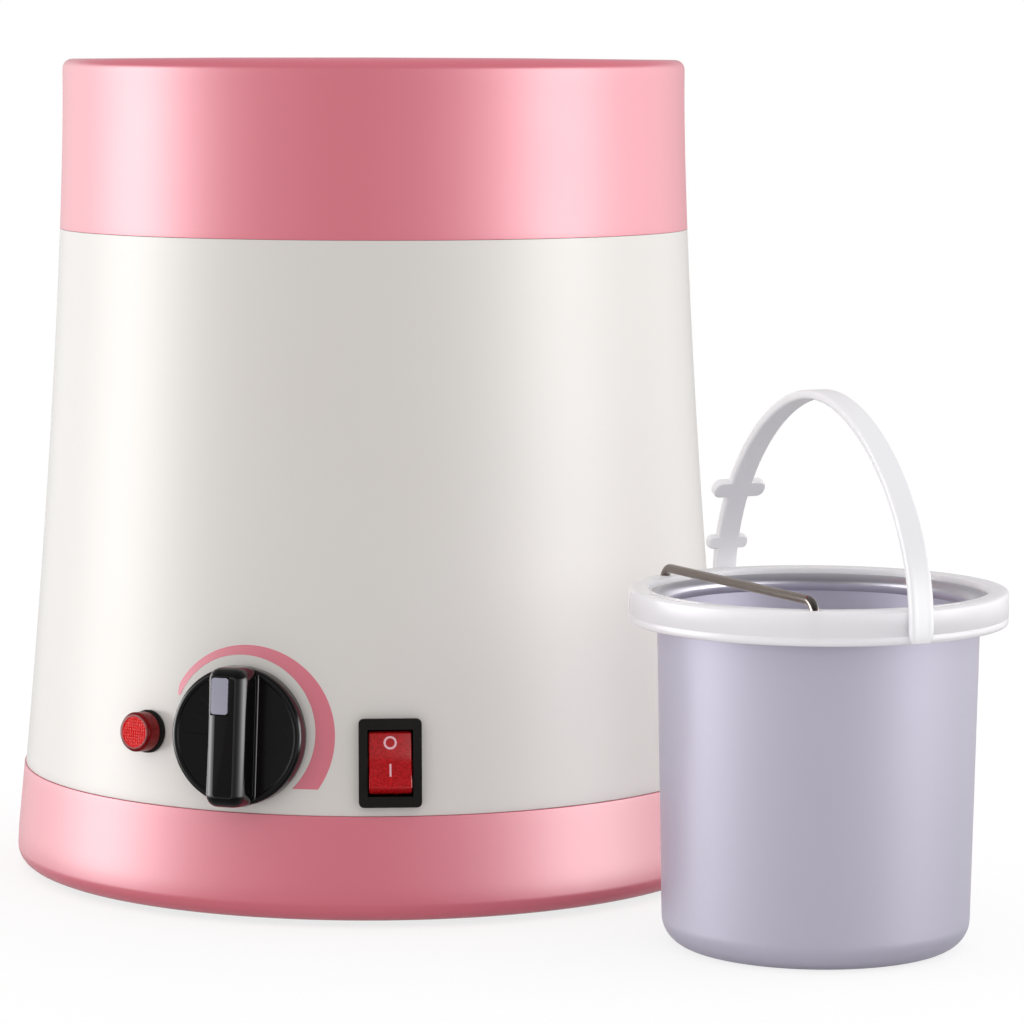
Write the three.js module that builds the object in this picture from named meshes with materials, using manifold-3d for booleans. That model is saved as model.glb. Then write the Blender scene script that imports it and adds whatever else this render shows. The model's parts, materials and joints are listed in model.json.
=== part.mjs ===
// Wax warmer: a round heater with a lift-off lid, and its wax pot standing beside it.
// Millimetres, +Z up. The heater's front, with its controls, faces -Y.
// The origin is in the middle of the whole set, on the table.
import * as THREE from 'three';
import { mergeVertices } from 'three/addons/utils/BufferGeometryUtils.js';
import Module from 'manifold-3d';

const wasm = await Module();
wasm.setup();

// Clearances that serve every piece
const seatGap = 0.3;
const runningGap = 0.45;
const overrun = 2;
const half = 0.5;

// Steps round a full turn
const shellSteps = 36;
const innerSteps = 30;
const smallSteps = 16;
const lampSteps = 20;
const screwSteps = 10;
const wallSteps = 6;
const cornerSteps = 4;
const roundSteps = 3;
const wireSides = 8;
const capillarySides = 6;

// Heater housing
const heaterHeight = 215;
const wallTop = 206;
const housingGap = 43.1;
const flare = 14;
const flarePower = 1.5;
const shellWall = 2.4;
const lidBorder = 170;
const baseBorder = 28;
const baseStandOut = 0.4;
const baseCorner = 4.5;
const baseLift = 1.5;
const baseWall = 3;
const baseLedgeWidth = 3.3;
const baseLedgeThickness = 1.5;
const spigotHeight = 4;
const spigotRise = 3.5;
const spigotWall = 1.4;

// Base plate, feet and tie screws
const plateHeight = 3.2;
const plateThickness = 2.5;
const footRadius = 8;
const footInset = 13.8;
const footRecess = 1;
const footCount = 4;
const tieInset = 14.2;
const tieStart = 45;
const tieCount = 4;
const tieBossRadius = 5.5;
const tieBossTop = 18;
const tieBoreTop = 11.5;
const tieHeadRadius = 3.6;
const tieHeadHeight = 2.4;
const tieShankRadius = 1.8;
const tieReach = 32;
const ventCount = 8;
const ventWidth = 3;
const ventInner = 26;
const ventOuter = 48;
const ventRoundShare = 0.45;

// Lid
const lidWall = 2.2;
const lidRoof = 2.4;
const lidCorner = 2.6;
const lidCrown = 0.5;
const lidSkirtWall = 2;
const lidSkirtDrop = 4;
const lidSkirtRise = 5.5;

// Wax pot: its wall, rolled lip, plastic ring and handle
const potTopRadius = 39.1;
const potTaper = 1.7;
const potWall = 0.9;
const potCorner = 7;
const potHeight = 87.5;
const lipReach = 2.2;
const lipBead = 0.9;
const ringReach = 6.8;
const ringBand = 8.3;
const ringWall = 1.8;
const ringTopWall = 1.8;
const ringFloor = 1.5;
const ringMouthReach = 2.1;
const ringEase = 0.9;

// Handle
const handleThickness = 2.2;
const handleWidth = 6.1;
const handleRise = 51;
const handleSteps = 30;
const handleFoot = 3.6;
const archRiseShare = 0.52;
const archTopShare = 0.47;
const studRadius = 2;
const upperWingHeight = 24.7;
const upperWingSpan = 14.4;
const upperWingDepth = 4.6;
const upperWingRoundShare = 0.46;
const lowerWingHeight = 10.7;
const lowerWingSpan = 11;
const lowerWingDepth = 3.4;
const lowerWingRoundShare = 0.4;
const handleAzimuth = -45;

// Scraper wire across the mouth of the pot
const wireRadius = 1.15;
const wireBend = 3.4;
const wireOffset = 22.5;
const wireHeight = 2;
const wireHoleReach = 4.3;
const wireRuns = 40;

// Heating well and what is strapped to it
const wellWall = 1.5;
const wellClearance = 1.15;
const wellFlangeWidth = 5.25;
const wellCorner = 4;
const wellFloorGap = 0.3;
const seatDrop = 2;
const retainerWidth = 3.2;
const retainerThickness = 1.2;
const bandHeight = 40;
const bandRise = 10.7;
const bandThickness = 2;
const bandGap = 9;
const lugReach = 12;
const lugThickness = 1.6;
const lugHeight = 14;
const clampRadius = 1.6;
const clampHeadRadius = 3;
const clampHeadHeight = 2.2;
const clampNutFlats = 5.6;
const clampNutHeight = 2.4;
const clampTipReach = 1.2;
const sleeveThickness = 5;
const sleeveMargin = 2;
const sleeveSlot = 26;
const shieldShare = 0.7215;
const shieldThickness = 0.8;
const shieldDrop = 13.3;
const shieldTopGap = 4.1;
const shieldPort = 4;
const portOffset = 10;

// Deck round the mouth of the well
const deckThickness = 2.5;
const deckLipWidth = 8;
const deckSlope = 4;
const deckSink = 1.6;
const deckSkirtWall = 2;
const deckSkirtDrop = 15;
const deckPostRadius = 4.75;
const deckLedgeWidth = 5;
const deckLedgeThickness = 2.2;

// Sensor, fuse and their clip under the well
const bulbRadius = 3;
const bulbLength = 36;
const bulbOffset = 12;
const fuseRadius = 2;
const fuseLength = 13;
const fuseOffset = 12;
const clipThickness = 0.8;
const clipWidth = 12;
const clipFoot = 6;
const clipBossRadius = 3.5;
const clipBossHeight = 3;
const clipScrewRadius = 1.5;
const clipScrewReach = 2.6;
const clipHeadRadius = 2.8;
const clipHeadHeight = 1.8;
const capillaryRadius = 0.9;
const capillaryStepLength = 3;

// Thermostat and knob
const knobHeight = 47.3;
const knobAzimuth = 0;
const thermostatWidth = 26;
const thermostatTall = 30;
const thermostatDepth = 20;
const thermostatSetBack = 8;
const bushRadius = 4.25;
const bushReach = 3.6;
const thermostatNutFlats = 13;
const thermostatNutHeight = 2.8;
const shaftRadius = 3;
const shaftReach = 11.5;
const shaftDepth = 12;
const shaftFlat = 0.7;
const knobRadius = 16.1;
const knobDiscHeight = 6.8;
const knobEase = 0.6;
const knobStandOff = 0.8;
const knobPocketRadius = 8.4;
const gripLength = 34.2;
const gripWidth = 10.6;
const gripDrop = 4.4;
const gripTop = 14.8;
const gripTipWidth = 8.6;
const gripRound = 1.6;
const gripEndRound = 3.4;
const pointerLength = 9;
const pointerWidth = 4.4;
const pointerThickness = 0.7;
const pointerInset = 2;
const pointerProud = 0.1;
const pointerSide = 1;

// Indicator lamp
const lampHeight = 46.2;
const lampAzimuth = -17.3;
const lampBarrelRadius = 4;
const lampBarrelLength = 16;
const lampBore = 2.8;
const lampFlangeRadius = 5.4;
const lampFlangeHeight = 1.3;
const lensRadius = 5;
const lensProud = 4;
const lensEdge = 0.8;
const lensStem = 5;
const lampNutFlats = 12;
const lampNutHeight = 2.4;

// Rocker switch
const switchHeight = 41.3;
const switchAzimuth = 23.2;
const bezelWidth = 15.6;
const bezelLength = 22;
const bezelThickness = 1.8;
const bezelCorner = 1.2;
const switchBodyWidth = 13;
const switchBodyLength = 19.4;
const switchBodyDepth = 17;
const switchBodyFloor = 1.4;
const rockerWidth = 10.7;
const rockerRadius = 8;
const rockerPivotDepth = 1.5;
const rockerTopAngle = 30.7;
const rockerFootAngle = -38;
const rockerDish = 0.9;
const rockerRest = 11;
const trunnionRadius = 1;
const trunnionReach = 0.65;
const terminalWidth = 6.3;
const terminalThickness = 0.8;
const terminalLength = 13;
const terminalSpacing = 8;
const terminalRise = 3.5;

// Cord gland at the back
const glandHeight = 17;
const glandAzimuth = 180;
const glandBore = 3.8;
const glandBarrelRadius = 5.4;
const glandBarrelLength = 12;
const glandFlangeRadius = 8;
const glandFlangeHeight = 2.4;
const glandNutFlats = 14;
const glandNutHeight = 4;
const glandNutGap = 1.2;

// Terminal block on the base plate
const blockLength = 30;
const blockDepth = 16;
const blockTall = 13;
const blockWays = 3;
const blockHoleRadius = 2;
const blockX = -22;
const blockY = 48;

// Where the pot stands, seen from the heater's axis
const potAzimuth = 64.5;
const potStandClear = 21.6;

// Materials
function plastic(color, roughness) {
  return new THREE.MeshStandardMaterial({ color, roughness, metalness: 0 });
}
function metal(color, roughness) {
  return new THREE.MeshStandardMaterial({ color, roughness, metalness: 1 });
}
const pinkGloss = plastic(0xe28796, 0.16);
const whiteGloss = plastic(0xf4f3f0, 0.2);
const blackGloss = plastic(0x101012, 0.18);
const blackPlastic = plastic(0x1a1a1c, 0.5);
const redLens = plastic(0xc4161c, 0.15);
const greyMark = plastic(0xb9b3c4, 0.4);
const frosted = plastic(0xeeedf0, 0.4);
const rubber = plastic(0x3a3a3c, 0.85);
const ceramicWool = plastic(0xe6dfcf, 0.95);
const moulding = plastic(0xdedbd4, 0.5);
const satinAluminium = metal(0xc9c5d2, 0.34);
const wellAluminium = metal(0xbfc1c6, 0.4);
const nickel = metal(0xa9a49c, 0.22);
const steel = metal(0xb4b6ba, 0.35);
const brass = metal(0xc9a656, 0.3);
const copper = metal(0xb8714a, 0.35);

// A hexagon nut is this much wider across its corners than across its flats
const nutSpread = 2 / Math.sqrt(3);

// Solids: every shape is a closed body that can be joined and cut
function solidOf(geometry) {
  const bare = geometry.index ? geometry.clone() : geometry;
  bare.deleteAttribute('normal');
  bare.deleteAttribute('uv');
  const merged = mergeVertices(bare);
  const index = merged.index.array;
  const triangles = [];
  for (let i = 0; i < index.length; i += 3) {
    const [a, b, c] = [index[i], index[i + 1], index[i + 2]];
    if (a !== b && b !== c && c !== a) triangles.push(a, b, c);
  }
  const positions = new Float32Array(merged.attributes.position.array);
  if (signedVolume(positions, triangles) < 0) triangles.reverse();
  const mesh = new wasm.Mesh({ numProp: 3, vertProperties: positions, triVerts: new Uint32Array(triangles) });
  return new wasm.Manifold(mesh);
}

function signedVolume(positions, triangles) {
  const [a, b, c] = [new THREE.Vector3(), new THREE.Vector3(), new THREE.Vector3()];
  let total = 0;
  for (let i = 0; i < triangles.length; i += 3) {
    a.fromArray(positions, 3 * triangles[i]);
    b.fromArray(positions, 3 * triangles[i + 1]);
    c.fromArray(positions, 3 * triangles[i + 2]);
    total += a.dot(b.cross(c));
  }
  return total;
}

function geometryOf(solid) {
  const mesh = solid.getMesh();
  const geometry = new THREE.BufferGeometry();
  const positions = new Float32Array(3 * mesh.numVert);
  for (let v = 0; v < mesh.numVert; v++) {
    for (let k = 0; k < 3; k++) positions[3 * v + k] = mesh.vertProperties[mesh.numProp * v + k];
  }
  geometry.setAttribute('position', new THREE.BufferAttribute(positions, 3));
  geometry.setIndex(new THREE.BufferAttribute(new Uint32Array(mesh.triVerts), 1));
  geometry.computeVertexNormals();
  return geometry;
}

// A profile of [radius, height] points turned round Z
function turned(profile, steps = shellSteps) {
  const points = profile.map(([radius, height]) => new THREE.Vector2(Math.max(radius, 0), height));
  const closed = points[0].x > 0 || points[points.length - 1].x > 0;
  if (closed) points.push(points[0].clone());
  const geometry = new THREE.LatheGeometry(points, steps);
  geometry.rotateX(Math.PI / 2);
  return solidOf(geometry);
}

// An outline of [x, y] points pushed up along Z
function pushed(outline, bottom, top) {
  const shape = outline instanceof THREE.Shape ? outline : new THREE.Shape(outline.map(([x, y]) => new THREE.Vector2(x, y)));
  const geometry = new THREE.ExtrudeGeometry(shape, { depth: top - bottom, bevelEnabled: false, curveSegments: 8 });
  geometry.translate(0, 0, bottom);
  return solidOf(geometry);
}

function rod(radius, bottom, top, steps = smallSteps) {
  const geometry = new THREE.CylinderGeometry(radius, radius, top - bottom, steps);
  geometry.rotateX(Math.PI / 2);
  geometry.translate(0, 0, (top + bottom) / 2);
  return solidOf(geometry);
}

function block(width, depth, bottom, top) {
  const geometry = new THREE.BoxGeometry(width, depth, top - bottom);
  geometry.translate(0, 0, (top + bottom) / 2);
  return solidOf(geometry);
}

function hexagon(flats, bottom, top) {
  return rod(flats * nutSpread / 2, bottom, top, 6);
}

function tubeAlong(curve, radius, steps, sides = wireSides) {
  const corners = arcPoints(0, 0, radius, 0, 360, sides).slice(1);
  const section = new THREE.Shape(corners.map(([x, y]) => new THREE.Vector2(x, y)));
  const options = { steps, extrudePath: curve, bevelEnabled: false };
  return solidOf(new THREE.ExtrudeGeometry(section, options));
}

function moved(solid, x, y, z) {
  return placed(solid, new THREE.Matrix4().makeTranslation(x, y, z));
}

function spun(solid, degrees) {
  return placed(solid, new THREE.Matrix4().makeRotationZ(THREE.MathUtils.degToRad(degrees)));
}

function placed(solid, matrix) {
  return solid.transform(matrix.elements);
}

function joined(...solids) {
  return solids.reduce((sum, next) => sum.add(next));
}

// A sheet of even thickness that follows a line of [x, y] points
function sheetOutline(line, thickness) {
  const points = line.map(([x, y]) => new THREE.Vector2(x, y));
  const left = [];
  const right = [];
  points.forEach((point, i) => {
    const before = points[Math.max(i - 1, 0)];
    const after = points[Math.min(i + 1, points.length - 1)];
    const inward = point.clone().sub(before).normalize();
    const outward = after.clone().sub(point).normalize();
    const along = inward.clone().add(outward).normalize();
    const reach = thickness * half / Math.max(along.dot(i ? inward : outward), half);
    const across = new THREE.Vector2(-along.y, along.x).multiplyScalar(reach);
    left.push(point.clone().add(across));
    right.unshift(point.clone().sub(across));
  });
  return new THREE.Shape([...left, ...right]);
}

function arcPoints(x, y, radius, fromDegrees, toDegrees, steps) {
  return Array.from({ length: steps + 1 }, (_, i) => {
    const angle = THREE.MathUtils.degToRad(fromDegrees + (toDegrees - fromDegrees) * i / steps);
    return [x + radius * Math.cos(angle), y + radius * Math.sin(angle)];
  });
}

function roundedRectangle(width, length, corner, steps = roundSteps) {
  const [x, y] = [width / 2 - corner, length / 2 - corner];
  return [
    ...arcPoints(x, y, corner, 0, 90, steps),
    ...arcPoints(-x, y, corner, 90, 180, steps),
    ...arcPoints(-x, -y, corner, 180, 270, steps),
    ...arcPoints(x, -y, corner, 270, 360, steps),
  ];
}

// Radii that follow from the pot's: its foot, lip and ring, and the housing round it
const potFootRadius = potTopRadius - potTaper;
const lipRadius = potTopRadius + lipReach;
const ringRadius = potTopRadius + ringReach;
const ringMouth = potTopRadius + ringMouthReach;
const topRadius = potTopRadius + housingGap;

// The housing's outer wall: straight near the top, flaring towards the table
function wallRadius(height) {
  const share = Math.max(0, (wallTop - height) / wallTop);
  return topRadius + flare * share ** flarePower;
}

function wallTilt(height) {
  const share = Math.max(0, (wallTop - height) / wallTop);
  return Math.atan(flare * flarePower * share ** (flarePower - 1) / wallTop);
}

// A frame on the outer wall: +Z points out of it, +Y up it, +X to its right seen from outside
function wallFrame(azimuth, height, radius = wallRadius(height)) {
  const turn = THREE.MathUtils.degToRad(azimuth);
  const tilt = wallTilt(height);
  const across = new THREE.Vector3(Math.cos(turn), Math.sin(turn), 0);
  const out = new THREE.Vector3(Math.sin(turn) * Math.cos(tilt), -Math.cos(turn) * Math.cos(tilt), Math.sin(tilt));
  const up = new THREE.Vector3().crossVectors(out, across);
  const frame = new THREE.Matrix4().makeBasis(across, up, out);
  return frame.setPosition(radius * Math.sin(turn), -radius * Math.cos(turn), height);
}

function onWall(solid, azimuth, height, radius) {
  return placed(solid, wallFrame(azimuth, height, radius));
}

// How far a round wall falls away behind a flat piece of this width
function wallDip(width, height) {
  const radius = wallRadius(height);
  return radius - Math.sqrt(radius ** 2 - (width / 2) ** 2);
}

function groupOnWall(azimuth, height, radius) {
  const group = new THREE.Group();
  wallFrame(azimuth, height, radius).decompose(group.position, group.quaternion, group.scale);
  return group;
}

function piece(parent, name, solid, material) {
  const mesh = new THREE.Mesh(geometryOf(solid), material);
  mesh.name = name;
  parent.add(mesh);
  return mesh;
}

function ringOfPlaces(count, circle, startDegrees) {
  return Array.from({ length: count }, (_, i) => {
    const angle = THREE.MathUtils.degToRad(startDegrees + 360 * i / count);
    return [circle * Math.cos(angle), circle * Math.sin(angle)];
  });
}

// Derived heights and radii that several pieces share
const baseInnerRadius = wallRadius(baseBorder) + baseStandOut - baseWall;
const footPlaces = ringOfPlaces(footCount, baseInnerRadius - footInset, 0);
const tieCircle = wallRadius(lidBorder) - tieInset;
const tiePlaces = ringOfPlaces(tieCount, tieCircle, tieStart);
const baseLedgeBottom = plateHeight + plateThickness + seatGap;
const seatHeight = lidBorder - seatDrop;
const deckTop = seatHeight - wellWall - seatGap;
const deckFloorTop = deckTop - deckSink;
const deckLedgeTop = deckFloorTop - deckThickness - seatGap;
const potRingBottom = potHeight - ringBand;
const wellBore = potTopRadius + wellClearance;
const wellOuter = wellBore + wellWall;
const wellFloorTop = seatHeight + seatGap - potRingBottom - wellFloorGap;
const wellUnderside = wellFloorTop - wellWall;
const bandInner = wellOuter + seatGap;
const bandOuter = bandInner + bandThickness;
const bandBottom = wellUnderside + bandRise;
const shieldRadius = wellOuter + (tieCircle - deckPostRadius - wellOuter) * shieldShare;
const shieldFloor = wellUnderside - shieldDrop;
const shieldTop = deckFloorTop - deckThickness - shieldTopGap;
const pivotHeight = potHeight - ringBand / 2;
const handleInner = ringRadius + seatGap + half * seatGap;

const heater = new THREE.Group();

// Pink base band: rounded lower edge, ledge for the plate, and a spigot notched for the switch
function baseShell() {
  const lowRadius = wallRadius(baseLift + baseCorner) + baseStandOut;
  const corner = arcPoints(lowRadius - baseCorner, baseLift + baseCorner, baseCorner, -90, 0, cornerSteps);
  const spigotOuter = wallRadius(baseBorder + spigotRise) - shellWall - seatGap;
  const spigotInner = spigotOuter - spigotWall;
  const shell = turned([
    [baseInnerRadius, baseLift],
    ...corner,
    [wallRadius(baseBorder) + baseStandOut, baseBorder],
    [spigotOuter, baseBorder],
    [spigotOuter, baseBorder + spigotRise],
    [spigotInner, baseBorder + spigotRise],
    [spigotInner, baseBorder - spigotHeight],
    [baseInnerRadius, baseBorder - spigotHeight],
    [baseInnerRadius, baseLedgeBottom + baseLedgeThickness],
    [baseInnerRadius - baseLedgeWidth, baseLedgeBottom + baseLedgeThickness],
    [baseInnerRadius - baseLedgeWidth, baseLedgeBottom],
    [baseInnerRadius, baseLedgeBottom],
  ]);
  const hole = rod(glandBarrelRadius + seatGap, -glandBarrelLength, overrun);
  const notch = block(switchBodyWidth + 4 * seatGap, switchBodyLength + 2 * seatGap, -switchBodyDepth, overrun);
  return shell
    .subtract(onWall(hole, glandAzimuth, glandHeight, glandRadius))
    .subtract(onWall(notch, switchAzimuth, switchHeight));
}
const glandRadius = wallRadius(glandHeight) + baseStandOut;
piece(heater, 'base_shell', baseShell(), pinkGloss);

// Base plate with screw bosses, foot recesses and a ring of vents
function basePlate() {
  const radius = baseInnerRadius - seatGap;
  const top = plateHeight + plateThickness;
  let plate = rod(radius, plateHeight, top, shellSteps);
  for (const [x, y] of tiePlaces) {
    plate = plate.add(moved(rod(tieBossRadius, plateHeight, tieBossTop, screwSteps), x, y, 0));
    const bore = rod(tieHeadRadius + seatGap, plateHeight - overrun, tieBoreTop, screwSteps);
    const throat = rod(tieShankRadius + seatGap, plateHeight, tieBossTop + overrun, screwSteps);
    plate = plate.subtract(moved(joined(bore, throat), x, y, 0));
  }
  for (const [x, y] of footPlaces) {
    const recess = rod(footRadius + seatGap, plateHeight - overrun, plateHeight + footRecess);
    plate = plate.subtract(moved(recess, x, y, 0));
  }
  const ventMiddle = (ventInner + ventOuter) / 2;
  const slot = roundedRectangle(ventOuter - ventInner, ventWidth, ventWidth * ventRoundShare, 1);
  for (let i = 0; i < ventCount; i++) {
    const vent = moved(pushed(slot, plateHeight - overrun, top + overrun), ventMiddle, 0, 0);
    plate = plate.subtract(spun(vent, 360 * i / ventCount));
  }
  return plate;
}
piece(heater, 'base_plate', basePlate(), blackPlastic);

footPlaces.forEach(([x, y], i) => {
  const chamfer = footRecess;
  const top = plateHeight + footRecess - seatGap;
  const profile = [[0, 0], [footRadius - chamfer, 0], [footRadius, chamfer], [footRadius, top], [0, top]];
  piece(heater, `foot_${i + 1}`, turned(profile, smallSteps), rubber).position.set(x, y, 0);
});

tiePlaces.forEach(([x, y], i) => {
  const headTop = tieBoreTop - seatGap;
  const head = rod(tieHeadRadius, headTop - tieHeadHeight, headTop, screwSteps);
  const slot = block(tieHeadRadius * 2, tieHeadHeight * half, headTop - tieHeadHeight - overrun, headTop - tieHeadHeight * half);
  const screw = joined(head, rod(tieShankRadius, headTop - tieHeadHeight * half, tieReach, screwSteps)).subtract(slot);
  piece(heater, `tie_screw_${i + 1}`, screw, steel).position.set(x, y, 0);
});

// White body with its inner ledge and the openings for the controls
function bodyShell() {
  const bottom = baseBorder + seatGap;
  const outer = [];
  const inner = [];
  const innerTop = deckLedgeTop - deckLedgeThickness * 2;
  for (let i = 0; i <= wallSteps; i++) {
    const height = bottom + (lidBorder - bottom) * i / wallSteps;
    outer.push([wallRadius(height), height]);
  }
  for (let i = 0; i <= wallSteps; i += 2) {
    const height = innerTop + (bottom - innerTop) * i / wallSteps;
    inner.push([wallRadius(height) - shellWall, height]);
  }
  const mouth = wallRadius(lidBorder) - shellWall;
  const shell = turned([
    ...outer,
    [mouth, lidBorder],
    [mouth, deckLedgeTop],
    [mouth - deckLedgeWidth, deckLedgeTop],
    [mouth - deckLedgeWidth, deckLedgeTop - deckLedgeThickness],
    ...inner,
  ]);
  const deep = -shellWall * 2;
  const knobHole = rod(bushRadius + seatGap, deep, overrun);
  const lampHole = rod(lampBarrelRadius + seatGap, deep, overrun);
  const switchHole = block(switchBodyWidth + 2 * seatGap, switchBodyLength + 2 * seatGap, deep, overrun);
  return shell
    .subtract(onWall(knobHole, knobAzimuth, knobHeight))
    .subtract(onWall(lampHole, lampAzimuth, lampHeight))
    .subtract(onWall(switchHole, switchAzimuth, switchHeight));
}
piece(heater, 'body_shell', bodyShell(), whiteGloss);

// Deck: a drip gutter round the well, a skirt for the heat shield and four long posts
function deckRing() {
  const innerEdge = wellOuter + runningGap;
  const lipEnd = innerEdge + deckLipWidth;
  const outerEdge = wallRadius(lidBorder) - shellWall - seatGap;
  const underside = deckFloorTop - deckThickness;
  const skirtOuter = shieldRadius + seatGap + deckSkirtWall;
  const ring = turned([
    [innerEdge, deckTop - deckThickness],
    [lipEnd - deckThickness, deckTop - deckThickness],
    [shieldRadius + seatGap, underside],
    [shieldRadius + seatGap, underside - deckSkirtDrop],
    [skirtOuter, underside - deckSkirtDrop],
    [skirtOuter, underside],
    [outerEdge, underside],
    [outerEdge, deckFloorTop],
    [lipEnd + deckSlope, deckFloorTop],
    [lipEnd, deckTop],
    [innerEdge, deckTop],
  ]);
  const postBottom = tieBossTop + seatGap;
  const post = rod(deckPostRadius, postBottom, deckFloorTop - deckThickness * half, screwSteps);
  const bore = rod(tieShankRadius + seatGap, postBottom - overrun, tieReach + overrun);
  return tiePlaces.reduce((deck, [x, y]) => deck.add(moved(post, x, y, 0)).subtract(moved(bore, x, y, 0)), ring);
}
piece(heater, 'deck_ring', deckRing(), whiteGloss);

// Heating well: a deep aluminium cup with a flange that carries the pot
function heatingWell() {
  const flange = wellBore + wellFlangeWidth;
  const outerCorner = arcPoints(wellOuter - wellCorner, wellUnderside + wellCorner, wellCorner, -90, 0, roundSteps);
  const innerRound = wellCorner - wellWall;
  const innerCorner = arcPoints(wellBore - innerRound, wellFloorTop + innerRound, innerRound, 0, -90, roundSteps);
  const cup = turned([
    [0, wellUnderside],
    ...outerCorner,
    [wellOuter, seatHeight - wellWall],
    [flange, seatHeight - wellWall],
    [flange, seatHeight],
    [wellBore, seatHeight],
    ...innerCorner,
    [0, wellFloorTop],
  ], innerSteps);
  const boss = rod(clipBossRadius, wellUnderside - clipBossHeight, wellUnderside + wellWall * half);
  const bore = rod(clipScrewRadius + seatGap, wellUnderside - clipBossHeight - overrun, wellUnderside);
  return cup.add(boss).subtract(bore);
}
piece(heater, 'heating_well', heatingWell(), wellAluminium);

function tubeRing(inner, outer, bottom, top, steps = innerSteps) {
  return turned([[inner, bottom], [outer, bottom], [outer, top], [inner, top]], steps);
}
const retainerTop = deckTop - deckThickness - seatGap;
const retainer = tubeRing(bandInner, bandInner + retainerWidth, retainerTop - retainerThickness, retainerTop);
piece(heater, 'well_retaining_ring', retainer, steel);

// Heater band: a split collar drawn tight by a screw through two lugs at the back
const bandMiddle = bandBottom + bandHeight / 2;
const lugHole = bandOuter + lugReach * half;

function acrossLugs(solid) {
  const lying = new THREE.Matrix4().makeRotationY(Math.PI / 2).setPosition(0, lugHole, bandMiddle);
  return placed(solid, lying);
}

function heaterBand() {
  const collar = tubeRing(bandInner, bandOuter, bandBottom, bandBottom + bandHeight);
  const split = moved(block(bandGap, bandOuter, bandBottom - overrun, bandBottom + bandHeight + overrun), 0, bandOuter, 0);
  const lugDepth = lugReach + bandThickness * half;
  const lug = block(lugThickness, lugDepth, bandMiddle - lugHeight / 2, bandMiddle + lugHeight / 2);
  const lugX = (bandGap + lugThickness) / 2;
  const lugY = bandOuter + lugReach - lugDepth / 2;
  const hole = acrossLugs(rod(clampRadius + seatGap, -bandGap, bandGap));
  return joined(collar.subtract(split), moved(lug, lugX, lugY, 0), moved(lug, -lugX, lugY, 0)).subtract(hole);
}
piece(heater, 'heater_band', heaterBand(), copper);

const clampSeat = bandGap / 2 + lugThickness + seatGap;
const clampTip = clampSeat + clampNutHeight + clampTipReach;
const clampHead = rod(clampHeadRadius, -clampSeat - clampHeadHeight, -clampSeat, screwSteps);
const clampShank = rod(clampRadius, -clampSeat - clampHeadHeight * half, clampTip, screwSteps);
piece(heater, 'band_clamp_screw', acrossLugs(joined(clampHead, clampShank)), steel);
const clampNut = hexagon(clampNutFlats, clampSeat, clampSeat + clampNutHeight)
  .subtract(rod(clampRadius + seatGap, 0, clampTip + overrun, screwSteps));
piece(heater, 'band_clamp_nut', acrossLugs(clampNut), steel);

function insulationSleeve() {
  const inner = bandOuter + seatGap;
  const [bottom, top] = [bandBottom - sleeveMargin, bandBottom + bandHeight + sleeveMargin];
  const sleeve = tubeRing(inner, inner + sleeveThickness, bottom, top);
  const slot = moved(block(sleeveSlot, shieldRadius, bottom - overrun, top + overrun), 0, shieldRadius, 0);
  return sleeve.subtract(slot);
}
piece(heater, 'insulation_sleeve', insulationSleeve(), ceramicWool);

// Heat shield: a thin steel cup round the well, open at the top, with a port for the capillary
const portX = -bulbLength / 2 - portOffset;
const portY = -bulbOffset;
function heatShield() {
  const inner = shieldRadius - shieldThickness;
  const cup = turned([
    [0, shieldFloor],
    [shieldRadius, shieldFloor],
    [shieldRadius, shieldTop],
    [inner, shieldTop],
    [inner, shieldFloor + shieldThickness],
    [0, shieldFloor + shieldThickness],
  ], innerSteps);
  const port = moved(rod(shieldPort, shieldFloor - overrun, shieldFloor + overrun), portX, portY, 0);
  return cup.subtract(port);
}
piece(heater, 'heat_shield', heatShield(), steel);

// Sensor bulb and thermal fuse under the well, held by one bent clip
const bulbHeight = wellUnderside - seatGap - bulbRadius;
const fuseHeight = wellUnderside - seatGap - fuseRadius;
const lyingAlongX = new THREE.Matrix4().makeRotationY(Math.PI / 2);

function lyingRod(radius, length, y, z) {
  return moved(placed(rod(radius, -length / 2, length / 2, screwSteps), lyingAlongX), 0, y, z);
}
piece(heater, 'sensor_bulb', lyingRod(bulbRadius, bulbLength, -bulbOffset, bulbHeight), copper);
piece(heater, 'thermal_fuse', lyingRod(fuseRadius, fuseLength, fuseOffset, fuseHeight), steel);

const clipFlangeHeight = wellUnderside - seatGap - clipThickness / 2;
const clipMiddleHeight = wellUnderside - clipBossHeight - seatGap - clipThickness / 2;
function bulbClip() {
  const bulbReach = bulbRadius + seatGap + clipThickness / 2;
  const fuseReach = fuseRadius + seatGap + clipThickness / 2;
  const line = [
    [-bulbOffset - bulbReach - clipFoot, clipFlangeHeight],
    [-bulbOffset - bulbReach, clipFlangeHeight],
    ...arcPoints(-bulbOffset, bulbHeight, bulbReach, 180, 360, 8),
    [-bulbOffset + bulbReach, clipMiddleHeight],
    [fuseOffset - fuseReach, clipMiddleHeight],
    ...arcPoints(fuseOffset, fuseHeight, fuseReach, 180, 360, 6),
    [fuseOffset + fuseReach, clipFlangeHeight],
    [fuseOffset + fuseReach + clipFoot, clipFlangeHeight],
  ];
  const strip = pushed(sheetOutline(line, clipThickness), -clipWidth / 2, clipWidth / 2);
  const upright = new THREE.Matrix4().makeBasis(
    new THREE.Vector3(0, 1, 0),
    new THREE.Vector3(0, 0, 1),
    new THREE.Vector3(1, 0, 0),
  );
  const hole = rod(clipScrewRadius + seatGap, clipMiddleHeight - overrun, clipMiddleHeight + overrun);
  return placed(strip, upright).subtract(hole);
}
piece(heater, 'bulb_clip', bulbClip(), steel);

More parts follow.
